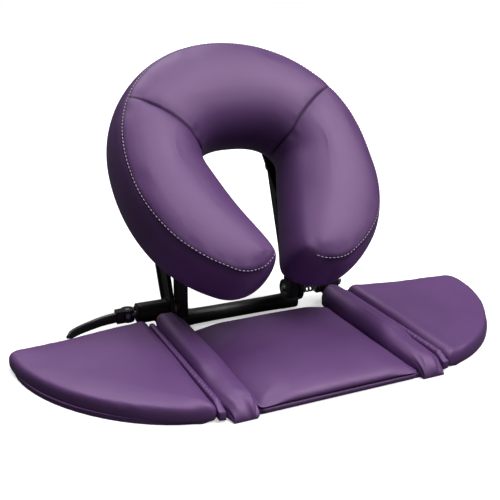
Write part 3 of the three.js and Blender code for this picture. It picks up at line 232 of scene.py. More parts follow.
def vinyl_material():
    """Purple vinyl: satin over fine grain, a tone deeper in random patches, and painted shade that darkens
    it in its creases.
    """
    material, tree, shader = blank("Purple vinyl")
    tone = noise_node(tree, object_place(tree), 9.0, 3.0, 0.5)
    colour = mixed_colour(tree, remap(tree, tone, 0.3, 0.7, 0.0, 0.3), VINYL, VINYL_DEEP)
    # Painted shade: the crease weights turn the colour towards near-black in seams and creases
    attribute = tree.nodes.new("ShaderNodeAttribute")
    attribute.attribute_name = "crease"
    crease = attribute.outputs["Fac"]
    colour = mixed_colour(tree, math_node(tree, "MULTIPLY", crease, 0.9, True), colour, VINYL_CREASE_SHADE)
    wear = use_group(tree, WEAR, Patch_Scale=11.0, Strength=0.16)
    grain = use_group(tree, GRAIN, Cell_Scale=850.0, Cell_Depth=0.3, Swell_Depth=0.9)
    rough = math_node(tree, "ADD", VINYL_ROUGHNESS, wear.outputs["Roughness Shift"])
    rough = math_node(tree, "ADD", rough, math_node(tree, "MULTIPLY", crease, 0.3), True)
    tree.links.new(colour, shader.inputs["Base Color"])
    tree.links.new(rough, shader.inputs["Roughness"])
    tree.links.new(bump(tree, grain.outputs["Height"], 0.00035, 0.55), shader.inputs["Normal"])
    shader.inputs["IOR"].default_value = VINYL_IOR
    shader.inputs["Specular IOR Level"].default_value = VINYL_GLOSS
    shader.inputs["Specular Tint"].default_value = VINYL_GLOSS_TINT
    return material


def black_material(name, tone, rough, metallic, speck_scale, speck_depth):
    """Black frame finish with a fine texture and faint handling marks."""
    material, tree, shader = blank(name)
    wear = use_group(tree, WEAR, Patch_Scale=30.0, Strength=0.3)
    base = (tone, tone, tone * 0.98, 1.0)
    light = (tone * 2.6, tone * 2.6, tone * 2.5, 1.0)
    marked = math_node(tree, "MULTIPLY", wear.outputs["Lift"], 1.0, True)
    tree.links.new(mixed_colour(tree, marked, base, light), shader.inputs["Base Color"])
    worn_roughness(tree, shader, rough, wear)
    speck = noise_node(tree, object_place(tree), speck_scale, 2.0)
    tree.links.new(bump(tree, speck, speck_depth, 0.5), shader.inputs["Normal"])
    shader.inputs["Metallic"].default_value = metallic
    return material


def metal_material(name, tone, rough, grain_scale):
    """Bare metal: fine streaks along its grain, a little duller between them, with handling marks."""
    material, tree, shader = blank(name)
    streak = noise_node(tree, stretched(tree, object_place(tree), grain_scale), 1.0, 3.0)
    wear = use_group(tree, WEAR, Patch_Scale=60.0, Strength=0.3)
    dull = tuple(c * 0.72 for c in tone)
    amount = remap(tree, streak, 0.35, 0.65, 0.0, 0.6)
    colour = mixed_colour(tree, amount, tone + (1.0,), dull + (1.0,))
    tree.links.new(colour, shader.inputs["Base Color"])
    worn_roughness(tree, shader, rough, wear)
    tree.links.new(bump(tree, streak, 0.00004, 0.4), shader.inputs["Normal"])
    shader.inputs["Metallic"].default_value = 1.0
    return material


def wood_material():
    """Rail wood: long grain along Y with darker late wood and fine pores."""
    material, tree, shader = blank("Rail wood")
    place = object_place(tree)
    rings = noise_node(tree, stretched(tree, place, (160.0, 7.0, 160.0)), 1.0, 5.0, 0.6)
    pores = noise_node(tree, stretched(tree, place, (1500.0, 60.0, 1500.0)), 1.0, 2.0)
    colour = mixed_colour(tree, remap(tree, rings, 0.3, 0.7, 0.0, 1.0), WOOD_EARLY, WOOD_LATE)
    colour = mixed_colour(tree, remap(tree, pores, 0.58, 0.7, 0.0, 0.5), colour, WOOD_PORE)
    tree.links.new(colour, shader.inputs["Base Color"])
    tree.links.new(bump(tree, pores, 0.0001, 0.5), shader.inputs["Normal"])
    shader.inputs["Roughness"].default_value = 0.66
    return material


def pile_material():
    """Black hook-and-loop: dense short pile."""
    material, tree, shader = blank("Hook and loop")
    tufts = tree.nodes.new("ShaderNodeTexVoronoi")
    tufts.inputs["Scale"].default_value = 900.0
    tree.links.new(object_place(tree), tufts.inputs["Vector"])
    colour = mixed_colour(tree, tufts.outputs["Distance"], PILE_LIGHT, PILE_DARK)
    tree.links.new(colour, shader.inputs["Base Color"])
    tree.links.new(bump(tree, tufts.outputs["Distance"], 0.0006, 0.8), shader.inputs["Normal"])
    shader.inputs["Roughness"].default_value = 0.95
    shader.inputs["Sheen Weight"].default_value = 0.25
    return material


def thread_material():
    """Lilac sewing thread with uneven plies."""
    material, tree, shader = blank("Lilac thread")
    ply = noise_node(tree, object_place(tree), 1800.0, 1.0)
    tree.links.new(mixed_colour(tree, ply, THREAD_LIGHT, THREAD_DARK), shader.inputs["Base Color"])
    shader.inputs["Roughness"].default_value = 0.6
    return material


MATERIALS = {
    "vinyl": vinyl_material(),
    "moulding": black_material(
        "Black moulding", tone=0.016, rough=0.36, metallic=0.0, speck_scale=700.0, speck_depth=0.00012),
    "coated": black_material(
        "Black coated steel", tone=0.018, rough=0.34, metallic=0.15, speck_scale=1100.0,
        speck_depth=0.00006),
    "steel": metal_material(
        "Zinc steel", (0.55, 0.56, 0.58), rough=0.32, grain_scale=(2400.0, 90.0, 2400.0)),
    "chrome": metal_material("Chrome", (0.8, 0.81, 0.83), rough=0.1, grain_scale=(300.0, 300.0, 300.0)),
    "nylon": black_material(
        "Black nylon", tone=0.018, rough=0.55, metallic=0.0, speck_scale=900.0, speck_depth=0.0001),
    "wood": wood_material(),
    "pile": pile_material(),
    "thread": thread_material(),
}

# Finishes and the words in a node's name that mean them; where several rows fit, the last one holds
NODE_FINISH = [
    ("vinyl", ("sleeve", "pad", "cushion", "centre_board", "wing_board")),
    ("wood", ("rail",)),
    ("moulding", ("crossbar_yoke", "platform_board")),
    ("steel", ("tube", "post", "rod", "nut", "pin", "spring", "spacer", "washer", "screw")),
    ("nylon", ("bush", "cam_washer", "friction_washer")),
    ("coated", ("post_head", "arm", "bracket", "slot_bolt", "lever")),
    ("chrome", ("pivot_bolt",)),
    ("pile", ("strip", "backing")),
    ("vinyl", ("hinge_strip",)),
    ("steel", ("bracket_screw", "pivot_nut", "pivot_washer", "cam_pin")),
]
SOFTENED = ("moulding", "coated", "nylon", "chrome", "wood")
WELD_REACH = 0.00002
EDGE_WIDTH = 0.0006
EDGE_ANGLE = 38


def finish_of(name):
    """The finish of the last row that has a word of the node's name."""
    return [finish for finish, words in NODE_FINISH if any(word in name for word in words)][-1]


def dress_frame_nodes():
    """Material on every solid, and softened edges on those of the softened finishes."""
    for name, node in nodes.items():
        finish = finish_of(name)
        node.data.materials.clear()
        node.data.materials.append(MATERIALS[finish])
        if finish in SOFTENED:
            weld = node.modifiers.new("Weld", "WELD")
            weld.merge_threshold = WELD_REACH
            bevel = node.modifiers.new("Edge", "BEVEL")
            bevel.width = EDGE_WIDTH
            bevel.segments = 2
            bevel.limit_method = "ANGLE"
            bevel.angle_limit = math.radians(EDGE_ANGLE)


dress_frame_nodes()


# Mesh helpers


def placed(name, data):
    """A new object in the scene."""
    obj = bpy.data.objects.new(name, data)
    bpy.context.scene.collection.objects.link(obj)
    return obj


def smoothstep(low_edge, high_edge, value):
    """0 before the low edge, 1 past the high one, with a soft start and end between them."""
    t = np.clip((np.asarray(value, float) - low_edge) / (high_edge - low_edge), 0.0, 1.0)
    return t * t * (3 - 2 * t)


def bell(offset, width):
    """1 where the offset is 0, falling off softly on both sides over the width."""
    return np.exp(-((offset / width) ** 2))


def bent(start, corner, end, t):
    """A round corner: the curve from start to end that is drawn towards the corner, at the shares t."""
    return (1 - t) ** 2 * start + 2 * t * (1 - t) * corner + t * t * end


def make_object(name, points, faces, crease=None, levels=1):
    """A smooth vinyl cover in millimetres turned into metres, with its crease weights as an attribute; the
    vinyl paints shade into the creases by these weights.
    """
    mesh = bpy.data.meshes.new(name)
    mesh.from_pydata([tuple(p * MM for p in point) for point in points], [], faces)
    mesh.update()
    layer = mesh.attributes.new("crease", "FLOAT", "POINT")
    if crease is not None:
        layer.data.foreach_set("value", np.asarray(crease, np.float32))
    obj = placed(name, mesh)
    outward = bmesh.new()
    outward.from_mesh(mesh)
    bmesh.ops.recalc_face_normals(outward, faces=outward.faces)
    outward.to_mesh(mesh)
    outward.free()
    mesh.shade_smooth()
    mesh.materials.append(MATERIALS["vinyl"])
    if levels:
        add_smoothing(obj, levels)
    return obj


def add_smoothing(obj, levels):
    """Subdivision with the same levels in the view as in the render."""
    smooth = obj.modifiers.new("Smooth", "SUBSURF")
    smooth.levels = levels
    smooth.render_levels = levels


def vertex_normals(points, faces):
    points = np.asarray(points, float)
    total = np.zeros_like(points)
    for face in faces:
        a, b, c = points[face[0]], points[face[1]], points[face[2]]
        area = np.cross(b - a, c - a)
        if len(face) == 4:
            d = points[face[3]]
            area = area + np.cross(c - a, d - a)
        for index in face:
            total[index] += area
    return total / np.maximum(np.linalg.norm(total, axis=1, keepdims=True), 1e-9)


def along(points, shares):
    """Points at the given shares of a polyline's length."""
    points = np.asarray(points, float)
    steps = np.r_[0.0, np.cumsum(np.linalg.norm(np.diff(points, axis=0), axis=1))]
    wanted = np.asarray(shares) * steps[-1]
    return np.stack([np.interp(wanted, steps, points[:, axis]) for axis in range(points.shape[1])], 1)


def drawn_in(loop, inset):
    """Each point of a closed clockwise run moved inwards along its normal by its own inset."""
    step = np.roll(loop, -1, axis=0) - np.roll(loop, 1, axis=0)
    step /= np.maximum(np.linalg.norm(step, axis=1, keepdims=True), 1e-9)
    inward = np.stack([step[:, 1], -step[:, 0]], 1)
    return loop + inward * np.asarray(inset)[:, None]


def swirl(points, size, seed):
    """Smooth noise of about -1 to 1 at each point, with cells of the given size in millimetres."""
    shift = np.array([seed, -seed, 0.0])
    return np.array([noise.noise(Vector(point / size + shift)) for point in points]) * 1.6


# Face cushion

TILT = math.radians(46.5)
CUSHION_MIDDLE = np.array([-4.0, 160.6, 166.8])
# Where the cross seams meet the outer edge and the hole, as shares of the way from crest to tip
SEAM_SHARE = 0.362
SEAM_HOLE_SHARE = 0.19
# How far a cross seam bows, the height where it turns into the hole, and its measuring points
SEAM_BOW = 3.0
SEAM_HOLE_HEIGHT = 62.0
SEAM_POINTS = 160
# Depth and reach of the narrow and the wide part of the valley at a cross seam
SEAM_VALLEY = ((2.1, 1.4), (1.9, 8.5))
LOBE_SHIFT = 5.0
MOUTH_LEVEL = 128.0
# Stations along half of the horseshoe, and the rows of faces across its top and its underside
STATIONS = 48
ACROSS = 14
BELOW = 8
TIP_ROUNDING_PASSES = 9
TIP_EVENING_PASSES = 26
PUCKER_DEPTH = 0.55

# Height above the underside and how far the side is drawn in, from the bottom edge to the top panel
SEAM_LEVEL = 11
PUCKER_BY_LEVEL = {8: 0.25, 9: 0.5, 10: 0.6, 12: 0.7, 13: 0.75, 14: 0.45, 15: 0.2}
OUTER_LEVELS = [
    (0.3, 19), (1.2, 14), (5, 8.5), (11, 4.2), (19, 1.3), (29, 0), (40, 0.2), (51, 1.8),
    (60, 4.2), (66, 6.4), (69.2, 8.6), (70.4, 10.2), (72.2, 10.6), (75, 14), (77.4, 19.5), (79.0, 26.5),
]
TIP_LEVELS = OUTER_LEVELS[:6] + [
    (40, 0.4), (51, 2.4), (60, 6), (66, 9.4), (71.4, 11.6), (73.0, 13.2), (74.6, 13.6), (76.2, 16), (77.4, 19.5), (78.4, 24),
]
HOLE_LEVELS = [
    (0.3, 18), (1.2, 12.5), (5, 7.5), (11, 3.4), (18, 1.0), (26, 0), (35, 0.3), (44, 1.9),
    (52, 4.8), (59, 8.6), (64.5, 13), (68.6, 18), (71.8, 23.5), (74.4, 29.5), (76.6, 36), (78.4, 43.5),
]


def horseshoe_edges():
    """Right half of the horseshoe: the outer edge and the hole's edge, each from its crest to the tip."""
    half, above, below, lobe, level = 160.0, 159.0, 171.0, 62.0, MOUTH_LEVEL
    angle = np.linspace(math.pi / 2, -math.pi / 2, 400)
    upper = angle >= 0
    power = np.where(upper, 2 / 2.05, 2 / 2.4)
    x = half * np.abs(np.cos(angle)) ** power
    y = np.where(upper, above, -below) * np.abs(np.sin(angle)) ** power
    keep = (y > 0) | (x > lobe)
    tip = -below * (1 - (lobe / half) ** 2.4) ** (1 / 2.4)
    outer = np.vstack([np.stack([x[keep], y[keep]], 1), [[lobe, tip]]])
    turn = np.linspace(math.pi / 2, 0, 120)
    crest = np.stack([49.0 * np.cos(turn) ** (2 / 2.6), 31.0 * np.sin(turn) ** (2 / 2.6)], 1)
    turn = np.linspace(0, math.pi / 2, 120)[1:]
    corner = np.stack([lobe - (lobe - 7.5) * np.cos(turn), -level + (tip + level) * np.sin(turn)], 1)
    side = np.linspace(crest[-1], (7.5, -level), 60)[1:]
    return outer, np.vstack([crest, side, corner])


def station_shares():
    """Shares from crest to tip, close together at the cross seam and towards the tip."""
    fine = np.linspace(0, 1, 2000)
    offset = fine - SEAM_SHARE
    density = 1 + 6.5 * bell(offset, 0.02) + 1.6 * bell(offset, 0.07)
    density += 1.4 * smoothstep(0.8, 1.0, fine)
    total = np.r_[0, np.cumsum((density[1:] + density[:-1]) / 2)]
    shares = np.interp(np.linspace(0, total[-1], STATIONS + 1), total, fine)
    shares[np.argmin(np.abs(shares - SEAM_SHARE))] = SEAM_SHARE
    return shares


def seam_line(points, column):
    """A cross seam as evenly spaced points, from its outer end into the hole."""
    return along(points[column], np.linspace(0, 1, SEAM_POINTS))


def gaps_between(points, line):
    """Distance from every point to every point of a line."""
    return np.sqrt(((points[:, None, :] - line[None]) ** 2).sum(2))


def seam_distance(points, columns):
    """Distance of every point to the nearest cross seam, and its share of that seam from the outer end."""
    distance, progress = np.full(len(points), 1e3), np.zeros(len(points))
    for column in columns:
        gap = gaps_between(points, seam_line(points, column))
        closer = gap.min(1) < distance
        distance = np.where(closer, gap.min(1), distance)
        progress = np.where(closer, gap.argmin(1) / (SEAM_POINTS - 1), progress)
    return distance, progress


def straightened(points, columns):
    """Moves the mesh beside each cross seam, so that from above the seam runs in one slow curve."""
    middle = SEAM_POINTS // 2
    for side, column in zip((1, -1), columns):
        line = seam_line(points, column)
        inner = middle + int(np.argmax(line[middle:, 2] < SEAM_HOLE_HEIGHT))
        start, end = line[0, :2], line[inner, :2]
        chord = end - start
        reach = np.linalg.norm(chord)
        normal = np.array([chord[1], -chord[0]]) / reach * side
        share = np.clip((line[:, :2] - start) @ chord / reach**2, 0, 1)
        offset = SEAM_BOW * 4 * share * (1 - share) - (line[:, :2] - start) @ normal
        offset[inner:] = 0
        offset *= 1 - smoothstep(inner - 18, inner, np.arange(SEAM_POINTS))
        gap = gaps_between(points, line)
        blend = bell(gap.min(1), 26.0) * smoothstep(40, 60, points[:, 2])
        points = points.copy()
        points[:, :2] += (offset[gap.argmin(1)] * blend)[:, None] * normal
    return points


def relaxed(points, faces, mask, passes):
    """Evens out the mesh where the mask is 1, each point drawn to the mean of its neighbours."""
    links = np.array([(face[i], face[i - 1]) for face in faces for i in range(len(face))])
    links = np.vstack([links, links[:, ::-1]])
    count = np.bincount(links[:, 0], minlength=len(points))[:, None]
    for _ in range(passes):
        total = np.zeros_like(points)
        np.add.at(total, links[:, 0], points[links[:, 1]])
        points = points + 0.5 * mask[:, None] * (total / count - points)
    return points


def cushion_shape():
    """Points of the cushion in its own frame, its faces, crease weights (painted shade in the seams), held
    points and the outer seam.
    """
    outer_edge, hole_edge = horseshoe_edges()
    shares = station_shares()
    hole_shares = shares ** (math.log(SEAM_HOLE_SHARE) / math.log(SEAM_SHARE))
    outer, hole = along(outer_edge, shares), along(hole_edge, hole_shares)
    flip = np.array([-1.0, 1.0])
    count = STATIONS

    def round_the_ring(on_outer, on_hole):
        """Values along the two edges of one half, mirrored and laid out round the whole ring."""
        return np.r_[on_outer, on_hole[:count][::-1], on_hole[1:count], on_outer[1:][::-1]]

    loop = np.vstack([outer, hole[:count][::-1], hole[1:count] * flip, outer[1:][::-1] * flip])
    rounding = round_the_ring(smoothstep(0.80, 0.92, shares), smoothstep(0.74, 0.9, hole_shares))[:, None]
    for _ in range(TIP_ROUNDING_PASSES):
        loop = loop + 0.5 * rounding * ((np.roll(loop, 1, axis=0) + np.roll(loop, -1, axis=0)) / 2 - loop)
    loop[:, 0] += LOBE_SHIFT * smoothstep(0, MOUTH_LEVEL, -loop[:, 1])
    # 0 on the outer side, 1 at the hole, and how far each station belongs to a lobe's tip
    near_hole = 1 - smoothstep(0.86, 1.0, hole_shares) * 0.5
    weight = round_the_ring(smoothstep(0.93, 1.0, shares) * 0.5, near_hole)
    tipness = round_the_ring(smoothstep(0.62, 0.86, shares), smoothstep(0.42, 0.72, hole_shares))
    at_hole, at_tip = weight[:, None], tipness[:, None]
    total = len(loop)
    points, faces, crease = [], [], []
    for index in range(len(OUTER_LEVELS)):
        out = np.array(OUTER_LEVELS[index]) * (1 - at_tip) + np.array(TIP_LEVELS[index]) * at_tip
        inner = np.tile(np.array(HOLE_LEVELS[index], float), (total, 1))
        inner[:, 1] *= 1 - 0.47 * tipness
        level = out * (1 - at_hole) + inner * at_hole
        points.extend(np.column_stack([drawn_in(loop, level[:, 1]), level[:, 0]]))
        # Crease weight on the outer seam's ring: it holds the seam in the cloth and paints shade into the
        # seam
        seam_here = {0: 1.0, 1: 0.35}.get(abs(index - SEAM_LEVEL), 0.0)
        crease.extend(seam_here * (1 - smoothstep(0.86, 1.0, weight)))
    rows = len(OUTER_LEVELS)
    for level in range(rows - 1):
        for i in range(total):
            a, b = level * total + i, level * total + (i + 1) % total
            faces.append((a, a + total, b + total, b))

    def fill(base, steps, rise, face_up):
        """Panel inside one ring: rows run across the horseshoe and bend into the lobe's end curve."""
        last = count - steps // 2
        blend = 9

        def ends(j):
            return base + (j if j >= 0 else total + j), base + 2 * count - j

        def end_curve(sign):
            return [base + (sign * (last + k)) % total for k in range(steps + 1)]

        share = np.linspace(0, 1, steps + 1)[:, None]
        ring = np.array(points[base:base + total])
        grid = []
        for j in range(-last, last + 1):
            sign = 1 if j >= 0 else -1
            o, h = ends(j)
            if abs(j) == last:
                grid.append(end_curve(sign))
                continue
            straight = points[o] * (1 - share) + points[h] * share
            v = (abs(j) - (last - blend)) / blend
            if v > 0:
                first_o, first_h = ends(sign * (last - blend))
                last_o, last_h = ends(sign * last)
                start = points[first_o] * (1 - share) + points[first_h] * share
                arc = np.array([points[index] for index in end_curve(sign)])
                straight = (1 - v) * start + v * arc
                straight += (1 - share) * (points[o] - (1 - v) * points[first_o] - v * points[last_o])
                straight += share * (points[h] - (1 - v) * points[first_h] - v * points[last_h])
            row = [o]
            for p in straight[1:-1]:
                depth = np.sqrt(((ring[:, :2] - p[:2]) ** 2).sum(1).min())
                lift = 1 - (1 - min(1.0, depth / 30.0)) ** 2
                row.append(len(points))
                points.append(p + np.array([0, 0, rise * lift]))
                crease.append(0.0)
            row.append(h)
            grid.append(row)
        for here, after in zip(grid, grid[1:]):
            for k in range(steps):
                face = (here[k], here[k + 1], after[k + 1], after[k])
                faces.append(face if face_up else face[::-1])
        return {j: row for j, row in zip(range(-last, last + 1), grid)}

    panel = fill((rows - 1) * total, ACROSS, 2.6, True)
    fill(0, BELOW, 0.0, False)
    points, crease = np.array(points), np.array(crease)
    seam_index = int(np.argmin(np.abs(shares - SEAM_SHARE)))
    columns = []
    for side in (1, -1):
        outer_index, hole_index = (side * seam_index) % total, 2 * count - side * seam_index
        outside = [level * total + outer_index for level in range(SEAM_LEVEL, rows - 1)]
        inside = [level * total + hole_index for level in range(rows - 2, 3, -1)]
        columns.append(outside + panel[side * seam_index] + inside)
    above_seam = (np.arange(len(points)) >= (SEAM_LEVEL + 2) * total) & (points[:, 2] > 60)
    near_tip = smoothstep(75, 108, -points[:, 1]) * above_seam
    points = relaxed(points, faces, near_tip, TIP_EVENING_PASSES)
    points = straightened(points, columns)
    normals = vertex_normals(points, faces)
    distance, progress = seam_distance(points, columns)
    mask = 1 - smoothstep(0.88, 1.0, progress)
    valley = sum(depth * bell(distance, reach) for depth, reach in SEAM_VALLEY)
    valley = valley * mask * (0.15 + 0.85 * smoothstep(0.04, 0.22, progress))
    points = points - normals * valley[:, None]
    # Crease weights along the cross seams, which also paint shade into the seam lines
    crease = np.maximum(crease, bell(distance, 1.3) * mask)
    # Puckers where the panels are gathered into the seams
    gather = np.zeros(len(points))
    seam_run = np.concatenate([[0], np.cumsum(np.linalg.norm(np.diff(loop, axis=0), axis=1))])
    ripple = 0.5 * np.sin(seam_run / 4.6) + 0.5 * np.sin(seam_run / 7.9 + 1.3)
    for level, strength in PUCKER_BY_LEVEL.items():
        gather[level * total:(level + 1) * total] = strength * ripple * (1 - smoothstep(0.6, 0.9, weight))
    side_shift = np.sign(points[:, 0]) * 0.9
    side_ripple = np.sin(progress * 61.0 + side_shift) + 0.6 * np.sin(progress * 97.0 + 2.0)
    towards_hole = 0.3 + 0.9 * smoothstep(0.45, 0.7, progress)
    gather += towards_hole * side_ripple * bell(distance - 5.5, 4.0) * mask
    points = points + normals * (gather * PUCKER_DEPTH)[:, None]
    held = (crease > 0.55) | (points[:, 2] < 3.0)
    return points, faces, crease, held, points[SEAM_LEVEL * total:(SEAM_LEVEL + 1) * total]


def to_world(points):
    """From the cushion's frame to the row frame, in millimetres."""
    points = np.atleast_2d(points)
    c, s = math.cos(TILT), math.sin(TILT)
    y = points[:, 1] * c - points[:, 2] * s
    z = points[:, 1] * s + points[:, 2] * c
    return np.stack([points[:, 0], y, z], 1) + CUSHION_MIDDLE


def inflate(obj, held, frames=20, pressure=4.0, cap=4.0):
    """Fills the cover with air, the seams held; each point moves by up to the cap, in millimetres."""
    mesh = obj.data
    start = np.zeros(len(mesh.vertices) * 3)
    mesh.vertices.foreach_get("co", start)
    start = start.reshape(-1, 3)
    group = obj.vertex_groups.new(name="held")
    group.add([int(i) for i in np.nonzero(held)[0]], 1.0, "REPLACE")
    cloth = obj.modifiers.new("Cloth", "CLOTH")
    settings = cloth.settings
    settings.quality = 5
    settings.mass = 0.4
    settings.tension_stiffness = 18
    settings.compression_stiffness = 18
    settings.shear_stiffness = 8
    settings.bending_stiffness = 0.6
    settings.use_pressure = True
    settings.uniform_pressure_force = pressure
    settings.vertex_group_mass = "held"
    settings.effector_weights.gravity = 0.0
    cloth.collision_settings.use_collision = False
    cloth.point_cache.frame_start = 1
    cloth.point_cache.frame_end = frames
    scene = bpy.context.scene
    for number in range(1, frames + 1):
        scene.frame_set(number)
    evaluated = obj.evaluated_get(bpy.context.evaluated_depsgraph_get())
    after = np.zeros(len(start) * 3)
    evaluated.data.vertices.foreach_get("co", after)
    moved = after.reshape(-1, 3) - start
    length = np.linalg.norm(moved, axis=1, keepdims=True)
    moved *= np.minimum(1.0, cap * MM / np.maximum(length, 1e-9))
    obj.modifiers.remove(cloth)
    obj.vertex_groups.clear()
    mesh.vertices.foreach_set("co", (start + moved).ravel())
    mesh.update()
    scene.frame_set(1)


def build_cushion():
    """The cushion's cover and, in its own frame, the run of its outer seam."""
    points, faces, crease, held, seam = cushion_shape()
    obj = make_object("face_cushion_cover", to_world(points), faces, crease, levels=0)
    inflate(obj, held)
    add_smoothing(obj, 2)
    return obj, seam


# Stitches


# Stitches, in metres, and how many stations each run goes on past its lobe's tip
STITCH_PITCH = 0.0046
STITCH_LENGTH = 0.0034
THREAD_RADIUS = 0.00062
STITCH_LIFT = 0.0003
STITCH_PATH_POINTS = 420
RIGHT_PAST_TIP = 7
LEFT_PAST_TIP = 9


def stitch_tree():
    """Stitches along a curve: pitch, stitch length and thread radius are the tree's inputs."""
    tree = bpy.data.node_groups.new("Stitch run", "GeometryNodeTree")
    face = tree.interface
    face.new_socket("Geometry", in_out="INPUT", socket_type="NodeSocketGeometry")
    for name in ("Pitch", "Stitch Length", "Thread Radius"):
        face.new_socket(name, in_out="INPUT", socket_type="NodeSocketFloat")
    face.new_socket("Material", in_out="INPUT", socket_type="NodeSocketMaterial")
    face.new_socket("Geometry", in_out="OUTPUT", socket_type="NodeSocketGeometry")
    given, made = tree.nodes.new("NodeGroupInput"), tree.nodes.new("NodeGroupOutput")
    new = tree.nodes.new
    spaced = new("GeometryNodeResampleCurve")
    spaced.mode = "LENGTH"
    bead = new("GeometryNodeMeshUVSphere")
    bead.inputs["Segments"].default_value = 8
    bead.inputs["Rings"].default_value = 5
    bead.inputs["Radius"].default_value = 1.0
    half = new("ShaderNodeMath")
    half.operation = "MULTIPLY"
    half.inputs[1].default_value = 0.5
    shape = new("ShaderNodeCombineXYZ")
    tangent = new("GeometryNodeInputTangent")
    turn = new("FunctionNodeAlignRotationToVector")
    turn.axis = "Z"
    place = new("GeometryNodeInstanceOnPoints")
    real = new("GeometryNodeRealizeInstances")
    smooth = new("GeometryNodeSetShadeSmooth")
    paint = new("GeometryNodeSetMaterial")
    for source, output, target, socket in (
        (given, "Geometry", spaced, "Curve"),
        (given, "Pitch", spaced, "Length"),
        (spaced, "Curve", place, "Points"),
        (bead, "Mesh", place, "Instance"),
        (tangent, "Tangent", turn, "Vector"),
        (turn, "Rotation", place, "Rotation"),
        (given, "Stitch Length", half, 0),
        (given, "Thread Radius", shape, "X"),
        (given, "Thread Radius", shape, "Y"),
        (half, 0, shape, "Z"),
        (shape, "Vector", place, "Scale"),
        (place, "Instances", real, "Geometry"),
        (real, "Geometry", smooth, "Geometry"),
        (smooth, "Geometry", paint, "Geometry"),
        (given, "Material", paint, "Material"),
        (paint, "Geometry", made, "Geometry"),
    ):
        tree.links.new(source.outputs[output], target.inputs[socket])
    return tree


STITCHES = stitch_tree()


def stitched(name, run, **sizes):
    """One mesh of stitches along a run of points (metres)."""
    curve = bpy.data.curves.new(name + "_path", "CURVE")
    curve.dimensions = "3D"
    spline = curve.splines.new("POLY")
    spline.points.add(len(run) - 1)
    for point, place in zip(spline.points, run):
        point.co = (place[0], place[1], place[2], 1.0)
    path = placed(name + "_path", curve)
    modifier = path.modifiers.new("Stitches", "NODES")
    modifier.node_group = STITCHES
    keys = {item.name: item.identifier for item in STITCHES.interface.items_tree if item.in_out == "INPUT"}
    for label, value in sizes.items():
        modifier[keys[label.replace("_", " ")]] = value
    modifier[keys["Material"]] = MATERIALS["thread"]
    evaluated = path.evaluated_get(bpy.context.evaluated_depsgraph_get())
    mesh = bpy.data.meshes.new_from_object(evaluated)
    mesh.name = name
    obj = placed(name, mesh)
    bpy.data.objects.remove(path)
    return obj


def snapped(run, target, lift):
    """Points moved onto the target's evaluated surface and lifted off it, in metres."""
    evaluated = target.evaluated_get(bpy.context.evaluated_depsgraph_get())
    result = []
    for place in run:
        found, spot, normal, _ = evaluated.closest_point_on_mesh(Vector(place))
        result.append(tuple(spot + normal * lift) if found else tuple(place))
    return result


cushion, seam_points = build_cushion()
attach(cushion, "platform")
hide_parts("face_cushion")

right_run = seam_points[:STATIONS + RIGHT_PAST_TIP]
left_run = seam_points[3 * STATIONS - LEFT_PAST_TIP:]
seam_run = to_world(np.vstack([left_run, right_run]) + np.array([0, 0, 1.0])) * MM
seam_path = along(seam_run, np.linspace(0, 1, STITCH_PATH_POINTS))
cushion_stitches = stitched(
    "cushion_stitches", snapped(seam_path, cushion, STITCH_LIFT),
    Pitch=STITCH_PITCH, Stitch_Length=STITCH_LENGTH, Thread_Radius=THREAD_RADIUS)
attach(cushion_stitches, "platform")


# Base pads


def rounded(corners, radii, steps=10):
    """A closed run round straight sides with rounded corners."""
    corners = [np.array(c, float) for c in corners]
    result = []
    for index, corner in enumerate(corners):
        before, after = corners[index - 1], corners[(index + 1) % len(corners)]
        back = (before - corner) / np.linalg.norm(before - corner)
        on = (after - corner) / np.linalg.norm(after - corner)
        radius = radii[index]
        for step in range(steps + 1):
            result.append(bent(corner + back * radius, corner, corner + on * radius, step / steps))
    return np.array(result)


def closed_run(points):
    """The outline of a panel as evenly spaced points."""
    points = np.vstack([points, points[:1]])
    return along(points, np.arange(PANEL_POINTS) / PANEL_POINTS)


def pad_shape(loop, levels, crown, rings=9):
    """A padded panel from a closed outline: its side's levels, then rings to a crowned middle."""
    middle = (loop.max(0) + loop.min(0)) / 2
    half = (loop.max(0) - loop.min(0)) / 2
    points, faces = [], []

    def ring(inset, height):
        scale = 1 - inset / half
        points.extend(np.column_stack([middle + (loop - middle) * scale, np.full(len(loop), height)]))

    ring(30, PANEL_UNDERSIDE)
    ring(levels[0][1] + 0.3, PANEL_UNDERSIDE)
    for height, inset in levels:
        ring(inset, height)
    last_height, last_inset = levels[-1]
    reach = half.min() - last_inset
    for index in range(1, rings):
        share = index / rings
        ring(last_inset + reach * share, last_height + crown * math.sin(share * math.pi / 2) ** 0.8)
    total = len(loop)
    rows = len(points) // total
    for level in range(rows - 1):
        for i in range(total):
            a, b = level * total + i, level * total + (i + 1) % total
            faces.append((a, b, b + total, a + total))
    points.append(np.array([middle[0], middle[1], PANEL_UNDERSIDE]))
    points.append(np.array([middle[0], middle[1], last_height + crown]))
    for i in range(total):
        j = (i + 1) % total
        faces.append((len(points) - 2, j, i))
        faces.append((len(points) - 1, (rows - 1) * total + i, (rows - 1) * total + j))
    return np.array(points), faces


# Points round a panel, and the height at which its underside lies on the board
PANEL_POINTS = 184
PANEL_UNDERSIDE = 5.3

# Height above the floor and how far the side is drawn in, from the bottom edge up
WING_LEVELS = [
    (0.6, 3.0), (1.6, 1.4), (3.4, 0.5), (6.0, 0.0), (9.4, 0.0), (12.4, 0.4), (14.8, 1.3),
    (16.8, 2.9), (18.2, 5.2), (19.3, 9.0), (20.2, 15), (21.0, 23), (21.7, 33)]
CENTRE_LEVELS = [
    (0.6, 2.5), (1.5, 1.1), (3.2, 0.5), (4.8, 0.5), (6.0, 1.0), (6.8, 3.4), (7.4, 1.8), (8.8, 0.2),
    (10.8, 0.0), (13.2, 1.2), (15.6, 3.6), (17.6, 7.2), (19.2, 12.0), (20.2, 18), (20.8, 26), (21.2, 36)]
# The ring of the seam below the front roll: the sixth level, above the two rings of the underside; its
# crease weight paints a dark line of shade along the front seam
CENTRE_SEAM_RING = 7

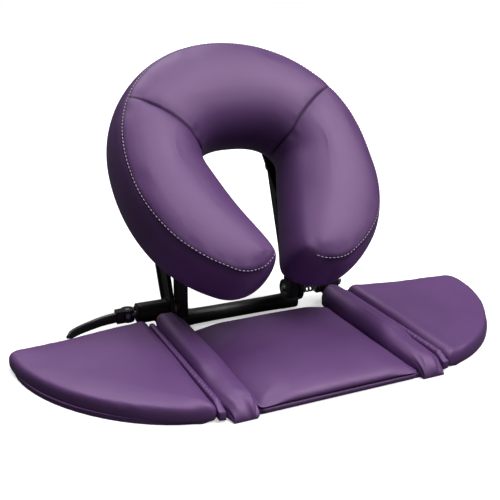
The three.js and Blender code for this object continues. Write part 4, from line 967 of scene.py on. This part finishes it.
# Outline of the wings, in millimetres from the middle of the base; the shoulder is where the curve starts
WING_HINGE = 133.7
WING_REACH = 296.0
WING_FRONT = -96.0
WING_BACK = 118.0
WING_TIP = 106.0
WING_TIP_RADIUS = 11.0
WING_SHOULDER = WING_TIP - WING_TIP_RADIUS
WING_FULLNESS = 1.7
WING_BACK_CORNER = 7
WING_FRONT_CORNER = 5
# Height of the ridge beside the hinge, of the rise at the back, and of the edge's puckers
WING_RIDGE = 1.6
WING_RISE = 3.2
WING_PUCKER = 0.6

# Outline of the centre panel, the radii of its corners, and its fall towards the sleeves
CENTRE_FRONT = -102.5
CENTRE_BACK = 89.0
CENTRE_HALF = 92.4
CENTRE_CORNERS = [5, 5, 3, 3]
CENTRE_FALL = 5.2


def wing_loop(side):
    """Outline of a wing: straight at the hinge and the back, one curve from its tip round to the front."""
    turn = np.linspace(math.pi / 2, 0, 60)
    curve = np.stack([
        WING_HINGE + (WING_REACH - WING_HINGE) * np.cos(turn) ** (2 / WING_FULLNESS),
        WING_SHOULDER - (WING_SHOULDER - WING_FRONT) * np.sin(turn) ** (2 / WING_FULLNESS)], 1)
    curve = curve[curve[:, 0] > WING_HINGE + WING_FRONT_CORNER]

    def corner(*places):
        start, middle, end = np.array(places, float)
        return bent(start, middle, end, np.linspace(0, 1, 12)[:, None])

    tip = corner(
        (WING_REACH, WING_SHOULDER), (WING_REACH, WING_TIP), (WING_REACH - WING_TIP_RADIUS, WING_TIP + 1.0))
    back = corner(
        (WING_HINGE + WING_BACK_CORNER, WING_BACK), (WING_HINGE, WING_BACK),
        (WING_HINGE, WING_BACK - WING_BACK_CORNER))
    front = corner(
        (WING_HINGE, WING_FRONT + WING_FRONT_CORNER), (WING_HINGE, WING_FRONT),
        (WING_HINGE + WING_FRONT_CORNER, WING_FRONT))
    loop = closed_run(np.vstack([curve, tip[1:], back, front[:-1]]))
    if side < 0:
        loop = (loop * np.array([-1.0, 1.0]))[::-1]
    return loop


def undulate(points, faces, amount, cell, seed):
    """Slow swell of foam below the vinyl, on the upper side only."""
    normals = vertex_normals(points, faces)
    mask = smoothstep(8, 16, points[:, 2])
    return points + normals * (swirl(points, cell, seed) * amount * mask)[:, None]


def build_wing(word, side):
    """Padded wing panel, highest beside its hinge and towards the back."""
    points, faces = pad_shape(wing_loop(side), WING_LEVELS, crown=1.2)
    reach = np.abs(points[:, 0])
    points = undulate(points, faces, 0.5, 46.0, 3.1 * side)
    ridge = bell(reach - 143.5, 7.0) * smoothstep(15, 19, points[:, 2])
    points[:, 2] += WING_RIDGE * ridge
    rise = smoothstep(-60, 95, points[:, 1]) * bell(reach - 140, 60.0) * smoothstep(12, 20, points[:, 2])
    points[:, 2] += WING_RISE * rise
    # Short puckers where the cover is pulled over the curved edge
    edge = bell(points[:, 2] - 16.5, 2.6) * smoothstep(128, 133, reach)
    points[:, 2] += swirl(points, 8.5, 8.0 + side) * WING_PUCKER * edge
    obj = make_object(f"{word}_wing_cover", points, faces)
    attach(obj, f"{word}_wing")
    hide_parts(f"{word}_wing_pad")


def build_centre():
    """Padded centre panel: it falls towards the sleeves, and its front edge is a full roll over a seam,
    darkened with painted shade.
    """
    half, front, back = CENTRE_HALF, CENTRE_FRONT, CENTRE_BACK
    loop = closed_run(rounded([(-half, front), (half, front), (half, back), (-half, back)], CENTRE_CORNERS))
    points, faces = pad_shape(loop, CENTRE_LEVELS, crown=0.5, rings=8)
    points = undulate(points, faces, 0.55, 60.0, 5.7)
    fall = smoothstep(52, half, np.abs(points[:, 0])) * smoothstep(8, 14, points[:, 2])
    points[:, 2] -= CENTRE_FALL * fall
    # Painted shade: a dark line along the front seam below the roll, given by the crease weight
    crease = np.zeros(len(points))
    crease[CENTRE_SEAM_RING * PANEL_POINTS:(CENTRE_SEAM_RING + 1) * PANEL_POINTS] = 1.0
    crease *= points[:, 1] < -80
    obj = make_object("centre_cover", points, faces, crease)
    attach(obj, "base")
    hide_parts("centre_pad")


SIDES = (("left", -1), ("right", 1))
for side_word, side_sign in SIDES:
    build_wing(side_word, side_sign)
build_centre()


# Sleeves

SLEEVE_CREST = 108.5
SLEEVE_INNER = 91.6
SLEEVE_OUTER = 126.8
SLEEVE_HEIGHT = 27.5
SLEEVE_FRONT = -106.0
SLEEVE_NOSE = 24.0
SLEEVE_MIDDLE = -20.0
SLEEVE_BACK = 114.0
SLEEVE_STEPS = 44
# Share of the section at which the sewn ridge of the cover runs, its width and its height
RIDGE_SHARE = 0.47
RIDGE_WIDTH = 0.012
RIDGE_HEIGHT = 0.7


def tube_faces(spans, per):
    """Faces of a closed tube of equal sections, with a cap at each end."""
    faces = []
    for row in range(spans):
        for i in range(per):
            a, b = row * per + i, row * per + (i + 1) % per
            faces.append((a, b, b + per, a + per))
    faces.append(tuple(range(per)))
    faces.append(tuple(reversed(range(spans * per, (spans + 1) * per))))
    return faces


def sleeve_section(inner, outer, height, fullness_out):
    """Section from the inner foot over the crest to the outer foot, both feet drawn in under the roll."""
    turn = np.linspace(0, math.pi, SLEEVE_STEPS + 1)
    c, s = np.cos(turn), np.maximum(np.sin(turn), 0)
    inside = c > 0
    fullness = np.where(inside, 1.95, fullness_out)
    foot = np.minimum(11.5, height * 0.45)
    x = np.where(inside, -inner, outer) * np.abs(c) ** (2 / fullness)
    z = foot + (height - foot) * s ** (2 / fullness)
    low = height / SLEEVE_HEIGHT
    low_in = [(-inner + 0.4, 7.0 * low), (-inner + 0.2, 3.0 * low), (-inner + 1.6, 0.4)]
    low_out = [(outer - 0.2, 9.0 * low), (outer, 4.0 * low), (outer - 1.4, 0.4)]
    return np.vstack([low_in[::-1], np.stack([x, z], 1), low_out])


def build_sleeve(word, side):
    """Padded sleeve: full over the rail, lower in front of it, its front end pinched and gathered."""
    runs = np.concatenate([
        SLEEVE_FRONT + SLEEVE_NOSE * (1 - np.cos(np.linspace(0, math.pi / 2, 24))),
        np.linspace(SLEEVE_FRONT + SLEEVE_NOSE, SLEEVE_MIDDLE, 26)[1:],
        np.linspace(SLEEVE_MIDDLE, SLEEVE_BACK, 30)[1:]])
    points = []
    for y in runs:
        nose = float(np.clip((y - SLEEVE_FRONT) / SLEEVE_NOSE, 0, 1))
        front = 1 - float(smoothstep(-100, -30, y))
        over_rail = float(smoothstep(-50, -22, y))
        back_draw = float(smoothstep(90, 113, y))
        drop = 1 - 0.17 * (1 - float(smoothstep(-50, -10, y))) - 0.05 * front
        tall = SLEEVE_HEIGHT * drop * (0.16 + 0.84 * math.sin(nose * math.pi / 2) ** 0.62)
        crest = SLEEVE_CREST - 5.5 * front
        pinch = 1 - 0.42 * (1 - nose) ** 1.6
        inner = (crest - SLEEVE_INNER) * pinch - 5.0 * back_draw
        outer = (SLEEVE_OUTER - crest) * (0.5 + 0.5 * pinch) - 1.5 * back_draw
        section = sleeve_section(inner, outer, tall, 2.1 + 0.9 * over_rail)
        gathered = (1 - nose) * 0.9 + 0.3 * front
        for index, (x, z) in enumerate(section):
            turn = index / (len(section) - 1)
            fold = gathered * (math.sin(turn * 19 + 0.05 * y + side) + 0.5 * math.sin(turn * 37 - 0.09 * y))
            ridge = bell(turn - RIDGE_SHARE, RIDGE_WIDTH) * float(smoothstep(-70, 0, y))
            lift = fold + RIDGE_HEIGHT * ridge
            length = max(6.0, math.hypot(x, z))
            points.append((side * (crest + x + lift * x / length), y, max(0.4, z + lift * z / length)))
    obj = make_object(f"{word}_sleeve_cover", points, tube_faces(len(runs) - 1, len(section)))
    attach(obj, "base")
    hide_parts(f"{word}_sleeve")


for side_word, side_sign in SIDES:
    build_sleeve(side_word, side_sign)


# Hinge strips


HINGE_FRONT = -99.0
HINGE_LENGTH = 210.0
HINGE_INNER = 126.9
HINGE_WIDTH = 7.4
HINGE_PUCKER = 0.42


def build_hinge(word, side):
    """Sewn strip that the wing folds on: a low rib, gathered more and more towards the front."""
    steps, rows = 14, 150
    points = []
    for row in range(rows + 1):
        y = HINGE_FRONT + HINGE_LENGTH * row / rows
        gather = HINGE_PUCKER * (0.25 + 0.75 * float(smoothstep(60, -70, y)))
        fade = 0.35 + 0.65 * float(smoothstep(-99, -82, y))
        flap = 7.5 * float(smoothstep(-50, -90, y))
        for i in range(steps + 1):
            t = i / steps
            rib = math.sin(math.pi * t) ** 0.6 if 0 < t < 1 else 0.0
            pucker = gather * (math.sin(y / 0.95 + 2.2 * t) + 0.5 * math.sin(y / 1.7 - t)) * rib
            height = 8.5 + (6.9 + 2.4 * rib + pucker + t) * fade
            points.append((side * (HINGE_INNER + HINGE_WIDTH * t), y, height))
        for i in range(steps + 1):
            t = 1 - i / steps
            points.append((side * (HINGE_INNER - 0.5 + (HINGE_WIDTH + 0.4) * t), y, 9.0 - flap + t))
    obj = make_object(f"{word}_hinge_cover", points, tube_faces(rows, 2 * (steps + 1)))
    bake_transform(obj)
    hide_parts(f"{word}_hinge_strip")


for side_word, side_sign in SIDES:
    build_hinge(side_word, side_sign)


# Floor, light and camera


FLOOR_HALF = 9
FLOOR_SEEN = (0.93, 0.93, 0.94, 1.0)
FLOOR_BOUNCE = (0.07, 0.07, 0.075, 1.0)
FLOOR_GLOW = (0.5, 0.5, 0.5, 1.0)
NO_GLOW = (0.0, 0.0, 0.0, 1.0)
WORLD_LIGHT = 0.055

# The photograph's viewpoint, found by fitting the object's outline: place in metres, angles in degrees
CAMERA_PLACE = (-0.39743, -0.72386, 0.40646)
CAMERA_TURN = -25.17
CAMERA_TIP = 18.9
CAMERA_ROLL = 0.5
CAMERA_LENS = 58.68
CAMERA_SENSOR = 36.0


def build_floor():
    """White studio floor; it throws back little light, so the sides that face down stay deep."""
    mesh = bpy.data.meshes.new("floor")
    corners = [(x * FLOOR_HALF, y * FLOOR_HALF, 0) for x, y in ((-1, -1), (1, -1), (1, 1), (-1, 1))]
    mesh.from_pydata(corners, [], [(0, 1, 2, 3)])
    floor = placed("floor", mesh)
    material, tree, shader = blank("Pale floor")
    seen = tree.nodes.new("ShaderNodeLightPath").outputs["Is Camera Ray"]
    tree.links.new(mixed_colour(tree, seen, FLOOR_BOUNCE, FLOOR_SEEN), shader.inputs["Base Color"])
    tree.links.new(mixed_colour(tree, seen, NO_GLOW, FLOOR_GLOW), shader.inputs["Emission Color"])
    shader.inputs["Emission Strength"].default_value = 1.0
    shader.inputs["Roughness"].default_value = 0.9
    shader.inputs["Specular IOR Level"].default_value = 0.0
    mesh.materials.append(material)


def sun_light(name, turn, rise, strength, spread):
    """A wide soft light from far off: its turn from the front towards +X, and its rise above the floor."""
    data = bpy.data.lights.new(name, "SUN")
    data.energy = strength
    data.angle = math.radians(spread)
    obj = placed(name, data)
    turn, rise = math.radians(turn), math.radians(rise)
    towards = Vector((math.sin(turn) * math.cos(rise), -math.cos(turn) * math.cos(rise), math.sin(rise)))
    obj.rotation_mode = "QUATERNION"
    obj.rotation_quaternion = (-towards).to_track_quat("-Z", "Y")


def build_light():
    """A key light from the right, one from behind, a faint fill from the left and a dim white surround."""
    sun_light("Key", turn=50, rise=58, strength=2.6, spread=45)
    sun_light("Back", turn=-175, rise=62, strength=1.7, spread=45)
    sun_light("Fill", turn=-60, rise=35, strength=0.08, spread=60)
    world = bpy.data.worlds.new("Studio")
    bpy.context.scene.world = world
    world.use_nodes = True
    tree = world.node_tree
    back = tree.nodes["Background"]
    back.inputs["Color"].default_value = (1.0, 1.0, 1.0, 1.0)
    seen = tree.nodes.new("ShaderNodeLightPath").outputs["Is Camera Ray"]
    tree.links.new(remap(tree, seen, 0.0, 1.0, WORLD_LIGHT, 1.0), back.inputs["Strength"])


def build_camera():
    """The camera at the photograph's viewpoint."""
    turn, tip, roll = (math.radians(angle) for angle in (CAMERA_TURN, CAMERA_TIP, CAMERA_ROLL))
    ahead = Vector((-math.sin(turn) * math.cos(tip), math.cos(turn) * math.cos(tip), -math.sin(tip)))
    right = Vector((math.cos(turn), math.sin(turn), 0))
    up = right.cross(ahead)
    right_rolled = right * math.cos(roll) + up * math.sin(roll)
    up_rolled = -right * math.sin(roll) + up * math.cos(roll)
    data = bpy.data.cameras.new("Camera")
    data.lens, data.sensor_width = CAMERA_LENS, CAMERA_SENSOR
    data.clip_start, data.clip_end = 0.01, 50
    camera = placed("Camera", data)
    place = Matrix((right_rolled, up_rolled, -ahead)).transposed().to_4x4()
    place.translation = Vector(CAMERA_PLACE)
    camera.matrix_world = place
    bpy.context.scene.camera = camera


build_floor()
build_light()
build_camera()

scene = bpy.context.scene
scene.view_settings.view_transform = "Standard"
scene.view_settings.look = "None"
scene.view_settings.exposure = 0.0
